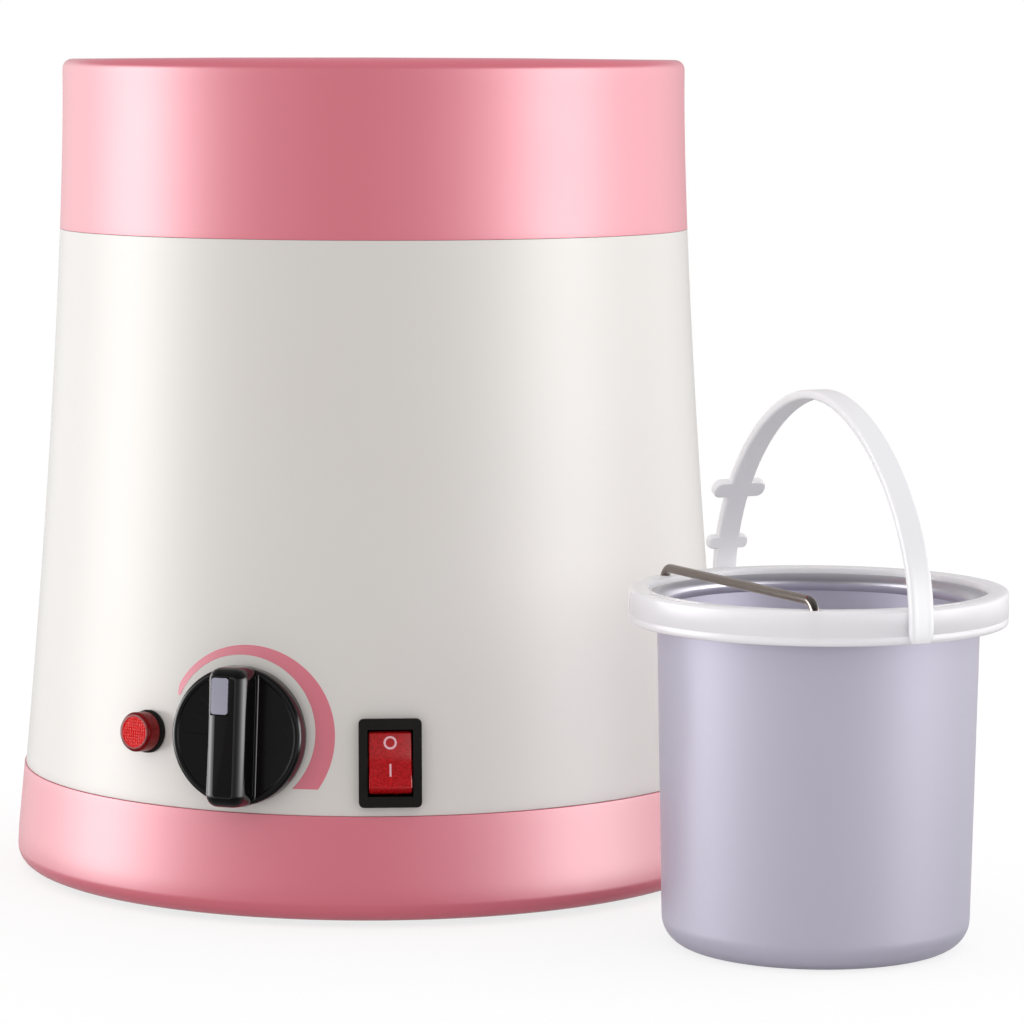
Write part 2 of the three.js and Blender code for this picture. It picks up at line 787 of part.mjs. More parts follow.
const clipHeadTop = clipMiddleHeight - clipThickness / 2 - seatGap;
const clipScrew = joined(
  rod(clipHeadRadius, clipHeadTop - clipHeadHeight, clipHeadTop),
  rod(clipScrewRadius, clipHeadTop - clipHeadHeight * half, clipMiddleHeight + clipScrewReach, screwSteps),
);
piece(heater, 'clip_screw', clipScrew, steel);

// Thermostat, held by a nut outside the wall, with its shaft running into the knob
const knobAxis = groupOnWall(knobAzimuth, knobHeight);
heater.add(knobAxis);
const thermostatFront = -shellWall - wallDip(thermostatWidth, knobHeight) - thermostatSetBack;
const thermostatBack = thermostatFront - thermostatDepth;
const knobBottom = knobStandOff;
const pocketTop = thermostatNutHeight + bushReach * half + seatGap * 2;

function thermostatBody() {
  const can = block(thermostatWidth, thermostatTall, thermostatBack, thermostatFront);
  const bush = rod(bushRadius, thermostatFront - overrun, bushReach);
  const bore = rod(shaftRadius + seatGap, thermostatFront - shaftDepth - seatGap, bushReach + overrun);
  return can.add(bush).subtract(bore);
}
piece(knobAxis, 'thermostat_body', thermostatBody(), moulding);

const thermostatNut = hexagon(thermostatNutFlats, seatGap, seatGap + thermostatNutHeight)
  .subtract(rod(bushRadius + seatGap, -overrun, thermostatNutHeight + overrun));
piece(knobAxis, 'thermostat_nut', thermostatNut, steel);

function shaftSolid(radius, bottom, top) {
  const round = rod(radius, bottom, top);
  const flatEdge = radius - shaftFlat;
  const cutter = moved(block(radius * 2, radius, bushReach + seatGap, top + overrun), 0, flatEdge + radius / 2, 0);
  return round.subtract(cutter);
}
const shaft = shaftSolid(shaftRadius, thermostatFront - shaftDepth, shaftReach);
piece(knobAxis, 'thermostat_shaft', shaft, brass);

// Knob: a round disc with a tall grip bar across it, whose rounded ends hang over the disc's edge
function knobSolid() {
  const discTop = knobBottom + knobDiscHeight;
  const disc = turned([
    [0, knobBottom],
    [knobRadius - knobEase, knobBottom],
    [knobRadius, knobBottom + knobEase],
    [knobRadius, discTop - knobEase],
    [knobRadius - knobEase, discTop],
    [0, discTop],
  ], innerSteps);
  const pocket = rod(knobPocketRadius, knobBottom - overrun, pocketTop);
  const bore = shaftSolid(shaftRadius + seatGap, pocketTop - overrun, shaftReach + seatGap);
  return disc.add(gripBar(discTop)).subtract(pocket).subtract(bore).subtract(pointerPocket());
}

function gripBar(discTop) {
  const [foot, tip] = [gripWidth / 2, gripTipWidth / 2];
  const section = [
    [-foot, discTop - gripDrop],
    [foot, discTop - gripDrop],
    [foot, discTop],
    ...arcPoints(tip - gripRound, gripTop - gripRound, gripRound, 0, 90, roundSteps),
    ...arcPoints(gripRound - tip, gripTop - gripRound, gripRound, 90, 180, roundSteps),
    [-foot, discTop],
  ];
  const lying = new THREE.Matrix4().makeBasis(
    new THREE.Vector3(1, 0, 0),
    new THREE.Vector3(0, 0, 1),
    new THREE.Vector3(0, -1, 0),
  );
  const bar = placed(pushed(section, -gripLength / 2, gripLength / 2), lying);
  const plan = roundedRectangle(gripWidth, gripLength, gripEndRound, cornerSteps);
  return bar.intersect(pushed(plan, discTop - gripDrop - overrun, gripTop + overrun));
}

const pointerMiddle = gripLength / 2 - pointerInset - pointerLength / 2;
function pointerPocket() {
  const width = pointerWidth + 2 * seatGap;
  const length = pointerLength + 2 * seatGap;
  const pocket = block(width, length, gripTop - pointerThickness - seatGap, gripTop + overrun);
  return moved(pocket, -pointerSide, pointerMiddle, 0);
}
piece(knobAxis, 'knob', knobSolid(), blackGloss);
const pointerTop = gripTop + pointerProud;
const pointer = block(pointerWidth, pointerLength, pointerTop - pointerThickness - pointerProud, pointerTop);
piece(knobAxis, 'knob_pointer', pointer, greyMark).position.set(-pointerSide, pointerMiddle, 0);

// Indicator lamp: barrel through the wall, flange and nut, red lens on a stem
const lampAxis = groupOnWall(lampAzimuth, lampHeight);
heater.add(lampAxis);
const lampFlangeTop = seatGap + lampFlangeHeight;
const lampBody = joined(
  rod(lampFlangeRadius, seatGap, lampFlangeTop, lampSteps),
  rod(lampBarrelRadius, seatGap * 2 - lampBarrelLength, seatGap * 2),
).subtract(rod(lampBore, -lampBarrelLength * half, lampFlangeTop + overrun));
piece(lampAxis, 'lamp_body', lampBody, blackPlastic);

const lensBottom = lampFlangeTop + seatGap;
const lensTop = lensBottom + lensProud;
const lens = turned([
  [0, lensBottom - lensStem],
  [lampBore - seatGap, lensBottom - lensStem],
  [lampBore - seatGap, lensBottom],
  [lensRadius, lensBottom],
  [lensRadius, lensTop - lensEdge],
  [lensRadius - lensEdge, lensTop],
  [0, lensTop],
], lampSteps);
piece(lampAxis, 'lamp_lens', lens, redLens);

const lampNutTop = -shellWall - wallDip(lampNutFlats * nutSpread, lampHeight) - seatGap;
const lampNut = hexagon(lampNutFlats, lampNutTop - lampNutHeight, lampNutTop)
  .subtract(rod(lampBarrelRadius + seatGap, -lampBarrelLength, overrun));
piece(lampAxis, 'lamp_nut', lampNut, blackPlastic);

// Rocker switch: snap-in frame, rocker on trunnions, two blades out of the back
const switchAxis = groupOnWall(switchAzimuth, switchHeight);
heater.add(switchAxis);
const bezelTop = seatGap + bezelThickness;
const terminalPlaces = [terminalSpacing / 2, -terminalSpacing / 2];

function bladeSolid(clearance) {
  const top = terminalRise - switchBodyDepth;
  const width = terminalWidth + 2 * clearance;
  return block(width, terminalThickness + 2 * clearance, top - terminalLength, top);
}

function switchFrame() {
  const bezel = pushed(roundedRectangle(bezelWidth, bezelLength, bezelCorner), seatGap, bezelTop);
  const can = block(switchBodyWidth, switchBodyLength, -switchBodyDepth, seatGap * 2);
  const windowWidth = rockerWidth + 2 * seatGap;
  const windowLength = 2 * (rockerRadius + seatGap);
  const cavity = block(windowWidth, windowLength, switchBodyFloor - switchBodyDepth, bezelTop + overrun);
  const pivot = lyingTrunnion(trunnionRadius + seatGap, trunnionReach + overrun);
  const body = joined(bezel, can).subtract(cavity).subtract(pivot);
  return terminalPlaces.reduce((frame, y) => frame.subtract(moved(bladeSolid(seatGap), 0, y, 0)), body);
}

function lyingTrunnion(radius, reach) {
  const length = rockerWidth + 2 * reach;
  return moved(placed(rod(radius, -length / 2, length / 2, screwSteps), lyingAlongX), 0, 0, -rockerPivotDepth);
}

function rockerSolid() {
  const right = arcPoints(0, 0, rockerRadius, rockerFootAngle, rockerTopAngle, cornerSteps);
  const left = arcPoints(0, 0, rockerRadius, 180 - rockerTopAngle, 180 - rockerFootAngle, cornerSteps);
  const brow = right[right.length - 1][1];
  const dish = [[0, brow - rockerDish]];
  const profile = pushed([...right, ...dish, ...left], -rockerWidth / 2, rockerWidth / 2);
  const sideways = new THREE.Matrix4().makeBasis(
    new THREE.Vector3(0, 1, 0),
    new THREE.Vector3(0, 0, 1),
    new THREE.Vector3(1, 0, 0),
  );
  const tilt = new THREE.Matrix4().makeRotationX(THREE.MathUtils.degToRad(-rockerRest));
  const tilted = placed(placed(profile, sideways), tilt);
  return moved(tilted, 0, 0, -rockerPivotDepth).add(lyingTrunnion(trunnionRadius, trunnionReach));
}
piece(switchAxis, 'switch_frame', switchFrame(), blackPlastic);
piece(switchAxis, 'rocker', rockerSolid(), redLens);
terminalPlaces.forEach((y, i) => {
  piece(switchAxis, `switch_terminal_${i + 1}`, bladeSolid(0), brass).position.set(0, y, 0);
});

// Cord gland and its nut, low at the back
const glandAxis = groupOnWall(glandAzimuth, glandHeight, glandRadius);
heater.add(glandAxis);
const glandFlangeTop = seatGap + glandFlangeHeight;
const glandFlange = turned([
  [0, seatGap],
  [glandFlangeRadius, seatGap],
  [glandFlangeRadius, glandFlangeTop - glandFlangeHeight * half],
  [glandBarrelRadius, glandFlangeTop],
  [0, glandFlangeTop],
], smallSteps);
const gland = glandFlange
  .add(rod(glandBarrelRadius, -glandBarrelLength, seatGap * 2))
  .subtract(rod(glandBore, -glandBarrelLength - overrun, glandFlangeTop + overrun));
piece(glandAxis, 'cord_gland', gland, blackPlastic);

const glandWallDepth = glandRadius - baseInnerRadius + wallDip(glandNutFlats * nutSpread, glandHeight);
const glandNutTop = -glandWallDepth - glandNutGap;
const glandNut = hexagon(glandNutFlats, glandNutTop - glandNutHeight, glandNutTop)
  .subtract(rod(glandBarrelRadius + seatGap, -glandBarrelLength - overrun, overrun));
piece(glandAxis, 'gland_nut', glandNut, blackPlastic);

// Terminal block that stands on the base plate
function terminalBlock() {
  const bottom = plateHeight + plateThickness + seatGap;
  const top = bottom + blockTall;
  let body = block(blockLength, blockDepth, bottom, top);
  for (let i = 0; i < blockWays; i++) {
    const x = blockLength * ((i + half) / blockWays - half);
    const wire = new THREE.Matrix4().makeRotationX(Math.PI / 2).setPosition(x, 0, bottom + blockTall * half * half);
    body = body.subtract(placed(rod(blockHoleRadius, -blockDepth, blockDepth, screwSteps), wire));
    const well = rod(blockHoleRadius, bottom + blockTall * half, top + overrun, screwSteps);
    body = body.subtract(moved(well, x, blockDepth * half * half, 0));
  }
  return body;
}
piece(heater, 'terminal_block', terminalBlock(), moulding).position.set(blockX, blockY, 0);

// Capillary tube from the thermostat, through the shield's port, to the bulb
function capillaryTube() {
  const frame = wallFrame(knobAzimuth, knobHeight);
  const start = new THREE.Vector3(0, 0, thermostatBack - seatGap).applyMatrix4(frame);
  const leave = new THREE.Vector3(0, 0, thermostatBack - capillaryStepLength).applyMatrix4(frame);
  const underPort = new THREE.Vector3(portX, portY, shieldFloor - overrun * 2);
  const overPort = new THREE.Vector3(portX, portY, shieldFloor + overrun);
  const bulbEnd = new THREE.Vector3(-bulbLength / 2 - seatGap, -bulbOffset, bulbHeight);
  const approach = bulbEnd.clone().add(new THREE.Vector3(-shieldPort, 0, 0));
  const middle = leave.clone().lerp(underPort, half).add(new THREE.Vector3(0, 0, -shieldPort * 2));
  const curve = new THREE.CatmullRomCurve3([start, leave, middle, underPort, overPort, approach, bulbEnd]);
  return tubeAlong(curve, capillaryRadius, Math.round(curve.getLength() / capillaryStepLength), capillarySides);
}
piece(heater, 'capillary_tube', capillaryTube(), copper);

// Lid: a deep cap that drops over the deck and locates inside the body's mouth
function lidSolid() {
  const bottom = lidBorder + seatGap;
  const crownCorner = arcPoints(topRadius - lidCorner, heaterHeight - lidCrown - lidCorner, lidCorner, 0, 90, cornerSteps);
  const skirtOuter = wallRadius(lidBorder) - shellWall - seatGap;
  const skirtInner = skirtOuter - lidSkirtWall;
  const roof = heaterHeight - lidRoof;
  return turned([
    [wallRadius(bottom), bottom],
    [wallRadius((bottom + wallTop) / 2), (bottom + wallTop) / 2],
    ...crownCorner,
    [topRadius * half, heaterHeight - lidCrown * half * half],
    [0, heaterHeight],
    [0, roof],
    [topRadius - lidWall - lidCorner, roof - lidCrown],
    [topRadius - lidWall, roof - lidCorner],
    [wallRadius(bottom + lidSkirtRise) - lidWall, bottom + lidSkirtRise],
    [skirtInner, bottom + lidSkirtRise],
    [skirtInner, lidBorder - lidSkirtDrop],
    [skirtOuter, lidBorder - lidSkirtDrop],
    [skirtOuter, bottom],
  ]);
}
piece(heater, 'lid', lidSolid(), pinkGloss);

// Wax pot, standing beside the heater
const potSet = new THREE.Group();

function potSolid() {
  const innerRound = potCorner - potWall;
  const flareStart = potRingBottom + ringFloor + seatGap;
  const beadHeight = potHeight - ringTopWall - lipBead * 2;
  const outerCorner = arcPoints(potFootRadius - potCorner, potCorner, potCorner, -90, 0, cornerSteps);
  const innerCorner = arcPoints(potFootRadius - potCorner, potCorner, innerRound, 0, -90, roundSteps);
  const bead = arcPoints(lipRadius - lipBead * half, beadHeight, lipBead, -60, 150, roundSteps);
  return turned([
    [0, 0],
    ...outerCorner,
    [potTopRadius, flareStart],
    [potTopRadius + potWall * half, flareStart + potWall],
    ...bead,
    [potTopRadius - potWall * half, flareStart + potWall],
    [potTopRadius - potWall, flareStart],
    ...innerCorner,
    [0, potWall],
  ]);
}
piece(potSet, 'pot', potSolid(), satinAluminium);

// Everything on the handle's plane is drawn with X along the pivots and Z up
const handleFrame = new THREE.Matrix4().makeRotationZ(THREE.MathUtils.degToRad(handleAzimuth));
const wireEnd = Math.sqrt((potTopRadius + wireHoleReach) ** 2 - wireOffset ** 2);

function lyingAcross(solid, z) {
  return moved(placed(solid, lyingAlongX), 0, 0, z);
}

// Plastic ring: a channel round the lip, with holes for the handle's studs and the wire
function potRing() {
  const bottom = potRingBottom;
  const bore = potTopRadius + runningGap;
  const ring = turned([
    [bore, bottom],
    [ringRadius - ringEase, bottom],
    [ringRadius, bottom + ringEase],
    [ringRadius, potHeight - ringEase],
    [ringRadius - ringEase, potHeight],
    [ringMouth, potHeight],
    [ringMouth, potHeight - ringTopWall],
    [ringRadius - ringWall, potHeight - ringTopWall],
    [ringRadius - ringWall, bottom + ringFloor],
    [bore, bottom + ringFloor],
  ]);
  const studHole = lyingAcross(rod(studRadius + seatGap, -ringRadius * 2, ringRadius * 2), pivotHeight);
  const keep = rod(ringRadius - ringWall * 2, 0, potHeight * 2, shellSteps);
  const wireHole = rod(wireRadius + seatGap, bottom + ringFloor, potHeight + overrun, screwSteps);
  const holes = [studHole.subtract(keep), moved(wireHole, wireEnd, -wireOffset, 0), moved(wireHole, -wireEnd, -wireOffset, 0)];
  return placed(holes.reduce((sum, hole) => sum.subtract(hole), ring), handleFrame);
}
piece(potSet, 'pot_ring', potRing(), frosted);

// Scraper wire: a straight bar with both ends turned down into the ring
function scraperWire() {
  const top = potHeight + wireHeight;
  const foot = potRingBottom + ringFloor + seatGap;
  const path = new THREE.CurvePath();
  const corner = (x, z) => new THREE.Vector3(x, -wireOffset, z);
  const shoulder = wireEnd - wireBend;
  path.add(new THREE.LineCurve3(corner(-wireEnd, foot), corner(-wireEnd, top - wireBend)));
  path.add(new THREE.QuadraticBezierCurve3(corner(-wireEnd, top - wireBend), corner(-wireEnd, top), corner(-shoulder, top)));
  path.add(new THREE.LineCurve3(corner(-shoulder, top), corner(shoulder, top)));
  path.add(new THREE.QuadraticBezierCurve3(corner(shoulder, top), corner(wireEnd, top), corner(wireEnd, top - wireBend)));
  path.add(new THREE.LineCurve3(corner(wireEnd, top - wireBend), corner(wireEnd, foot)));
  return placed(tubeAlong(path, wireRadius, wireRuns), handleFrame);
}
piece(potSet, 'scraper_wire', scraperWire(), nickel);

// Handle: a bowed strap with a stud at each foot and two pairs of wings on the rear leg
function archLine() {
  const span = handleInner + handleThickness / 2;
  const quarter = new THREE.CubicBezierCurve(
    new THREE.Vector2(span, 0),
    new THREE.Vector2(span, handleRise * archRiseShare),
    new THREE.Vector2(span * archTopShare, handleRise),
    new THREE.Vector2(0, handleRise),
  );
  const rightSide = quarter.getPoints(handleSteps / 2).map((point) => [point.x, point.y]);
  const leftSide = rightSide.slice(0, -1).reverse().map(([x, y]) => [-x, y]);
  return [[span, -handleFoot], ...rightSide, ...leftSide, [-span, -handleFoot]];
}

// A pair of wings: one rounded plate that lies along the strap at this height, on its rear leg
function wingPair(height, span, depth, roundShare) {
  const outline = roundedRectangle(depth, span, depth * roundShare);
  const line = archLine();
  const after = line.findIndex(([, y]) => y >= height);
  const [[x0, y0], [x1, y1]] = [line[after - 1], line[after]];
  const x = x0 + (x1 - x0) * (height - y0) / (y1 - y0);
  const along = new THREE.Vector3(x0 - x1, 0, y1 - y0).normalize();
  const across = new THREE.Vector3(0, 1, 0);
  const frame = new THREE.Matrix4().makeBasis(along, across, along.clone().cross(across));
  const plate = pushed(outline, -handleThickness / 2, handleThickness / 2);
  return placed(plate, frame.setPosition(-x, 0, height));
}

function handleSolid() {
  const strap = pushed(sheetOutline(archLine(), handleThickness), -handleWidth / 2, handleWidth / 2);
  const standing = new THREE.Matrix4().makeRotationX(Math.PI / 2);
  const stud = rod(studRadius, ringRadius - ringWall, handleInner + handleThickness / 2, screwSteps);
  const studs = joined(
    placed(stud, new THREE.Matrix4().makeRotationY(Math.PI / 2)),
    placed(stud, new THREE.Matrix4().makeRotationY(-Math.PI / 2)),
  );
  const wings = joined(
    wingPair(upperWingHeight, upperWingSpan, upperWingDepth, upperWingRoundShare),
    wingPair(lowerWingHeight, lowerWingSpan, lowerWingDepth, lowerWingRoundShare),
  );
  return joined(placed(strap, standing), studs, wings);
}
const handle = piece(potSet, 'handle', placed(handleSolid(), handleFrame), whiteGloss);
handle.position.z = pivotHeight;

// The set: heater and pot side by side, centred on the origin
const potTurn = THREE.MathUtils.degToRad(potAzimuth);
const potDistance = wallRadius(potHeight) + potStandClear + ringRadius;
potSet.position.set(potDistance * Math.sin(potTurn), -potDistance * Math.cos(potTurn), 0);

const waxWarmer = new THREE.Group();
waxWarmer.name = 'wax_warmer';
waxWarmer.add(heater, potSet);
const extent = new THREE.Box3().setFromObject(waxWarmer, true);
const middle = extent.getCenter(new THREE.Vector3());
waxWarmer.children.forEach((child) => child.position.sub(new THREE.Vector3(middle.x, middle.y, extent.min.z)));

export default waxWarmer;
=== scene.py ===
# Wax warmer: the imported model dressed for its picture. Metres, +Z up.
import json
from math import acos, asin, atan, atan2, cos, hypot, pi, radians, sin, sqrt, tan

import bmesh
import bpy
from mathutils import Matrix, Vector


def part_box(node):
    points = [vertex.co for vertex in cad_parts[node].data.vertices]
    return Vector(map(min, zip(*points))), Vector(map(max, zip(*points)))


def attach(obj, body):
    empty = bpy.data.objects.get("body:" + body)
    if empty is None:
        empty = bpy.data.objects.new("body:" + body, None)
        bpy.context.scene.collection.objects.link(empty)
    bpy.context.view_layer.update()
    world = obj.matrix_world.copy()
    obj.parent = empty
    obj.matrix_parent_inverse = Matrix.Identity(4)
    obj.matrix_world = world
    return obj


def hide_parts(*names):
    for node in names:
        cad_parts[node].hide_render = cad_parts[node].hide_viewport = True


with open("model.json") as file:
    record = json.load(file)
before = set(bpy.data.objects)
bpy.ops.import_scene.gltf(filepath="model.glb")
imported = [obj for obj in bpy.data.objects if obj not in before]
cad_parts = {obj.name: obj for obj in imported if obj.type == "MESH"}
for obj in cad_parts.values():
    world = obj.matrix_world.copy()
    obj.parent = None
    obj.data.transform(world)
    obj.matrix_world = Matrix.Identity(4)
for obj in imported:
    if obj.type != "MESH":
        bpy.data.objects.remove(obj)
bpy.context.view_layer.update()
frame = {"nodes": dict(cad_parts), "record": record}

# Steps of the turned and filleted shapes
ROUND_STEPS = 192
SMALL_STEPS = 96
FILLET_STEPS = 6
TINY = 1e-7
CREASE = radians(28)

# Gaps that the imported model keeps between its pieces
SEAT_GAP = 0.0003
RUNNING_GAP = 0.00045
BORDER_GAP = 0.00005
OVERRUN = 0.002

# Housing
WALL_TOP = 0.206
TOP_RADIUS = 0.0822
FLARE = 0.014
FLARE_POWER = 1.5
SHELL_WALL = 0.0024
LID_BORDER = 0.170
BASE_BORDER = 0.028
BASE_STAND_OUT = 0.0004
BASE_CORNER = 0.0045
BASE_LIFT = 0.0015
BASE_WALL = 0.003
BASE_LEDGE_WIDTH = 0.0033
BASE_LEDGE_THICKNESS = 0.0015
SPIGOT_HEIGHT = 0.004
SPIGOT_RISE = 0.0035
SPIGOT_WALL = 0.0014
PLATE_HEIGHT = 0.0032
PLATE_THICKNESS = 0.0025
BORDER_ROUND = 0.0005
BORDER_EDGE = 0.0001
WALL_STEP = 0.0025
INNER_WALL_STEPS = 4

# Lid
LID_WALL = 0.0022
LID_ROOF = 0.0024
LID_CORNER = 0.0026
LID_CROWN = 0.0005
LID_SKIRT_WALL = 0.002
LID_SKIRT_DROP = 0.004
LID_SKIRT_RISE = 0.0055

# Deck and heating well
SEAT_DROP = 0.002
WELL_WALL = 0.0015
WELL_BORE = 0.04025
WELL_FLANGE_WIDTH = 0.00525
WELL_CORNER = 0.004
DECK_THICKNESS = 0.0025
DECK_LIP_WIDTH = 0.008
DECK_SLOPE = 0.004
DECK_SINK = 0.0016
DECK_SKIRT_WALL = 0.002
DECK_SKIRT_DROP = 0.015
DECK_LEDGE_WIDTH = 0.005
DECK_LEDGE_THICKNESS = 0.0022
DECK_POST_RADIUS = 0.00475
DECK_ROUND = 0.0008
TIE_INSET = 0.0142
TIE_COUNT = 4
TIE_START = radians(45)
TIE_SHANK = 0.0018
TIE_BOSS_TOP = 0.018
TIE_REACH = 0.032
SHIELD_RADIUS = 0.058
CLIP_BOSS_RADIUS = 0.0035
CLIP_BOSS_HEIGHT = 0.003
CLIP_SCREW_RADIUS = 0.0015
FOOT_ROUND = 0.0015
FOOT_COUNT = 4

# Controls on the front wall
KNOB_HEIGHT = 0.0473
KNOB_AZIMUTH = 0.0
LAMP_HEIGHT = 0.0462
LAMP_AZIMUTH = radians(-17.3)
SWITCH_HEIGHT = 0.0413
SWITCH_AZIMUTH = radians(23.2)
GLAND_HEIGHT = 0.017
BUSH_RADIUS = 0.00425
KNOB_RADIUS = 0.0173
KNOB_STAND_OFF = 0.0008
KNOB_DISC_HEIGHT = 0.0043
KNOB_EASE = 0.0009
KNOB_FACE_DROP = 0.00025
KNOB_RIM_WIDTH = 0.0007
KNOB_POCKET_RADIUS = 0.0084
KNOB_POCKET_TOP = 0.00405
SHAFT_RADIUS = 0.003
SHAFT_FLAT = 0.0007
SHAFT_REACH = 0.0115
GRIP_LENGTH = 0.0351
GRIP_WIDTH = 0.0108
GRIP_TIP_WIDTH = 0.01
GRIP_TOP = 0.0128
GRIP_DROP = 0.003
GRIP_ROUND = 0.0025
GRIP_ROOT = 0.0004
GRIP_ROOT_LENGTH = 0.0315
GRIP_END_ROUND = 0.0034
FACE_TILT = radians(6)
POINTER_LENGTH = 0.009
POINTER_WIDTH = 0.0044
POINTER_THICKNESS = 0.0007
POINTER_INSET = 0.0028
POINTER_PROUD = 0.0001
POINTER_SIDE = 0.0014

# Printed crescent round the knob
SCALE_INNER = {"radius": 0.0193, "aside": -0.0007, "rise": 0.0007}
SCALE_OUTER = {"radius": 0.0227, "aside": 0.0008, "rise": -0.0002}
SCALE_CUT = 0.0128
SCALE_END = radians(157)
SCALE_TIP = 0.05
SCALE_FILM = 0.00005
SCALE_BURIED = 0.0003
SCALE_STEPS = 120
SCALE_ROWS = 6

# Lamp
LAMP_BARREL_RADIUS = 0.004
LAMP_BARREL_LENGTH = 0.016
LAMP_BORE = 0.0028
LAMP_FLANGE_RADIUS = 0.0054
LAMP_FLANGE_HEIGHT = 0.0013
LENS_RADIUS = 0.005
LENS_PROUD = 0.004
LENS_EDGE = 0.0008
LENS_STEM = 0.005
LENS_FACE_RADIUS = 0.0039
LENS_GRID_PITCH = 0.00072
LENS_GRID_HEIGHT = 0.00018
LENS_FACE_STEP = 0.00009

# Rocker switch
SWITCH_BODY_WIDTH = 0.013
SWITCH_BODY_LENGTH = 0.0194
ROCKER_WIDTH = 0.0107
ROCKER_RADIUS = 0.008
ROCKER_PIVOT_DEPTH = 0.0015
ROCKER_TOP_ANGLE = radians(30.7)
ROCKER_FOOT_ANGLE = radians(-38)
ROCKER_DISH = 0.0009
ROCKER_DISH_ROUND = 0.012
ROCKER_BROW_ROUND = 0.0005
ROCKER_REST = radians(11)
ROCKER_EASE_STEPS = 3
ROCKER_EASE_FROM = radians(35)
FRAME_EASE_STEPS = 2
FRAME_EASE_FROM = radians(50)
TRUNNION_RADIUS = 0.001
TRUNNION_REACH = 0.00065
RING_MARK_PLACE = 0.0044
RING_MARK_RADIUS = 0.00164
RING_MARK_BORE = 0.00112
BAR_MARK_PLACE = -0.0024
BAR_MARK_LENGTH = 0.0032
BAR_MARK_WIDTH = 0.00045
BAR_MARK_STEPS = 8
MARK_FILM = 0.00005
MARK_STEPS = 48

# Cord gland
GLAND_BORE = 0.0038
GLAND_BARREL_RADIUS = 0.0054
GLAND_BARREL_LENGTH = 0.012
GLAND_FLANGE_RADIUS = 0.008
GLAND_FLANGE_HEIGHT = 0.0024

# Pot, its ring and wire
POT_TOP_RADIUS = 0.0391
POT_FOOT_RADIUS = 0.0374
POT_WALL = 0.0009
POT_CORNER = 0.007
POT_HEIGHT = 0.0875
LIP_OFFSET = 0.0004
LIP_DROP = 0.0037
LIP_BEAD = 0.0023
RING_RADIUS = 0.0459
RING_BAND = 0.0083
RING_WALL = 0.0018
RING_TOP_WALL = 0.0018
RING_FLOOR = 0.0015
RING_MOUTH = 0.0412
RING_ROUND = 0.0009
RING_GROOVE = 0.00012
RING_SLOT_INNER = 0.0428
RING_SLOT_OUTER = 0.0440
RING_SLOT_DEPTH = 0.0007
RING_SLOT_SPAN = radians(26)
SLOT_STEPS = 24
RING_SLOT_AZIMUTHS = (radians(232), radians(322))
WIRE_RADIUS = 0.00115
WIRE_BEND = 0.0034
WIRE_OFFSET = 0.0225
WIRE_HEIGHT = 0.002
WIRE_CIRCLE = 0.0434
WIRE_SIDES = 24

# Handle
HANDLE_AZIMUTH = radians(-45)
HANDLE_WIDTH = 0.0061
HANDLE_THICKNESS = 0.0022
HANDLE_RISE = 0.051
HANDLE_FOOT = 0.0036
ARCH_RISE_SHARE = 0.52
ARCH_TOP_SHARE = 0.47
ARCH_STEPS = 48
HANDLE_EASE = 0.0007
HANDLE_RIB = 0.0011
HANDLE_CHANNEL = 0.00006
HANDLE_CHANNEL_END = 0.35
HANDLE_CHANNEL_LEAST = 0.125
STRAP_STEPS = 4
STUD_RADIUS = 0.002
UPPER_WING = {"height": 0.0247, "span": 0.0144, "depth": 0.0046, "corner": 0.0021}
LOWER_WING = {"height": 0.0107, "span": 0.011, "depth": 0.0034, "corner": 0.0013}
WING_EASE = 0.0005

# Camera and light, set to the photograph's viewing angle
CAMERA_AZIMUTH = radians(19.015)
CAMERA_PITCH = radians(6.097)
CAMERA_ROLL = radians(0.132)
CAMERA_DISTANCE = 1.125646
CAMERA_ASIDE = 0.036776
CAMERA_HEIGHT = 0.093976
CAMERA_LENS = 147.66
CAMERA_CLIP = (0.05, 60.0)
FLOOR_SIZE = 30.0
FLOOR_TINT = 0.8
FLOOR_GLOW_SHARE = 0.7
ROOM_LEVEL = 0.88

# Glows of the studio in reflections: degrees round from the camera, spread, brightness
STUDIO_GLOWS = (
    (-130, 30, 1.3), (-90, 24, 5.9), (-75, 45, 1.7),
    (62, 42, 2.5), (72, 24, 4.9), (115, 32, 1.9),
)
GLOW_ELEVATION = radians(3)
GLOW_TALL = radians(15)
GLOW_POWER = 2
GLOW_TALL_POWER = 4
STUDIO_FRONT = 0.03
STUDIO_BACK = 0.5

# Softboxes: degrees round from the camera, distance, height, width, tall, watts
LEFT_SOFTBOX = (-85, 0.75, 0.3, 0.42, 0.5, 0.35)
RIGHT_SOFTBOX = (100, 1.5, 0.6, 1.4, 0.9, 4.0)
POT_SOFTBOX = (-52, 0.9, 0.2, 0.3, 0.3, 1.15)

# Tints and depths that several lines share
PINK = (226, 119, 135)
PINK_CLOUD = (225, 117, 134)
FROST_DEPTH = 0.004

UP = Vector((0, 0, 1))
ALONG_Y = Vector((0, 1, 0))
ORIGIN = Matrix.Identity(4)
LYING_ACROSS = Matrix.Rotation(pi / 2, 4, "Y")


def centre_of(node):
    """The middle of a CAD node's box, on the table"""
    low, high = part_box(node)
    return Vector(((low[0] + high[0]) / 2, (low[1] + high[1]) / 2, 0))


HEATER = Matrix.Translation(centre_of("lid"))
POT = Matrix.Translation(centre_of("pot"))
HEATER_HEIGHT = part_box("lid")[1][2]


def linear(value):
    """One channel of a screen colour, 0 to 255, as linear light"""
    share = value / 255
    return share / 12.92 if share <= 0.04045 else ((share + 0.055) / 1.055) ** 2.4


def colour(screen):
    return (*(linear(value) for value in screen), 1)


def grey(level):
    return (level, level, level, 1)


# Directions and places
def outward(azimuth):
    """Level direction away from the middle, this far round from the front"""
    return Vector((sin(azimuth), -cos(azimuth), 0))


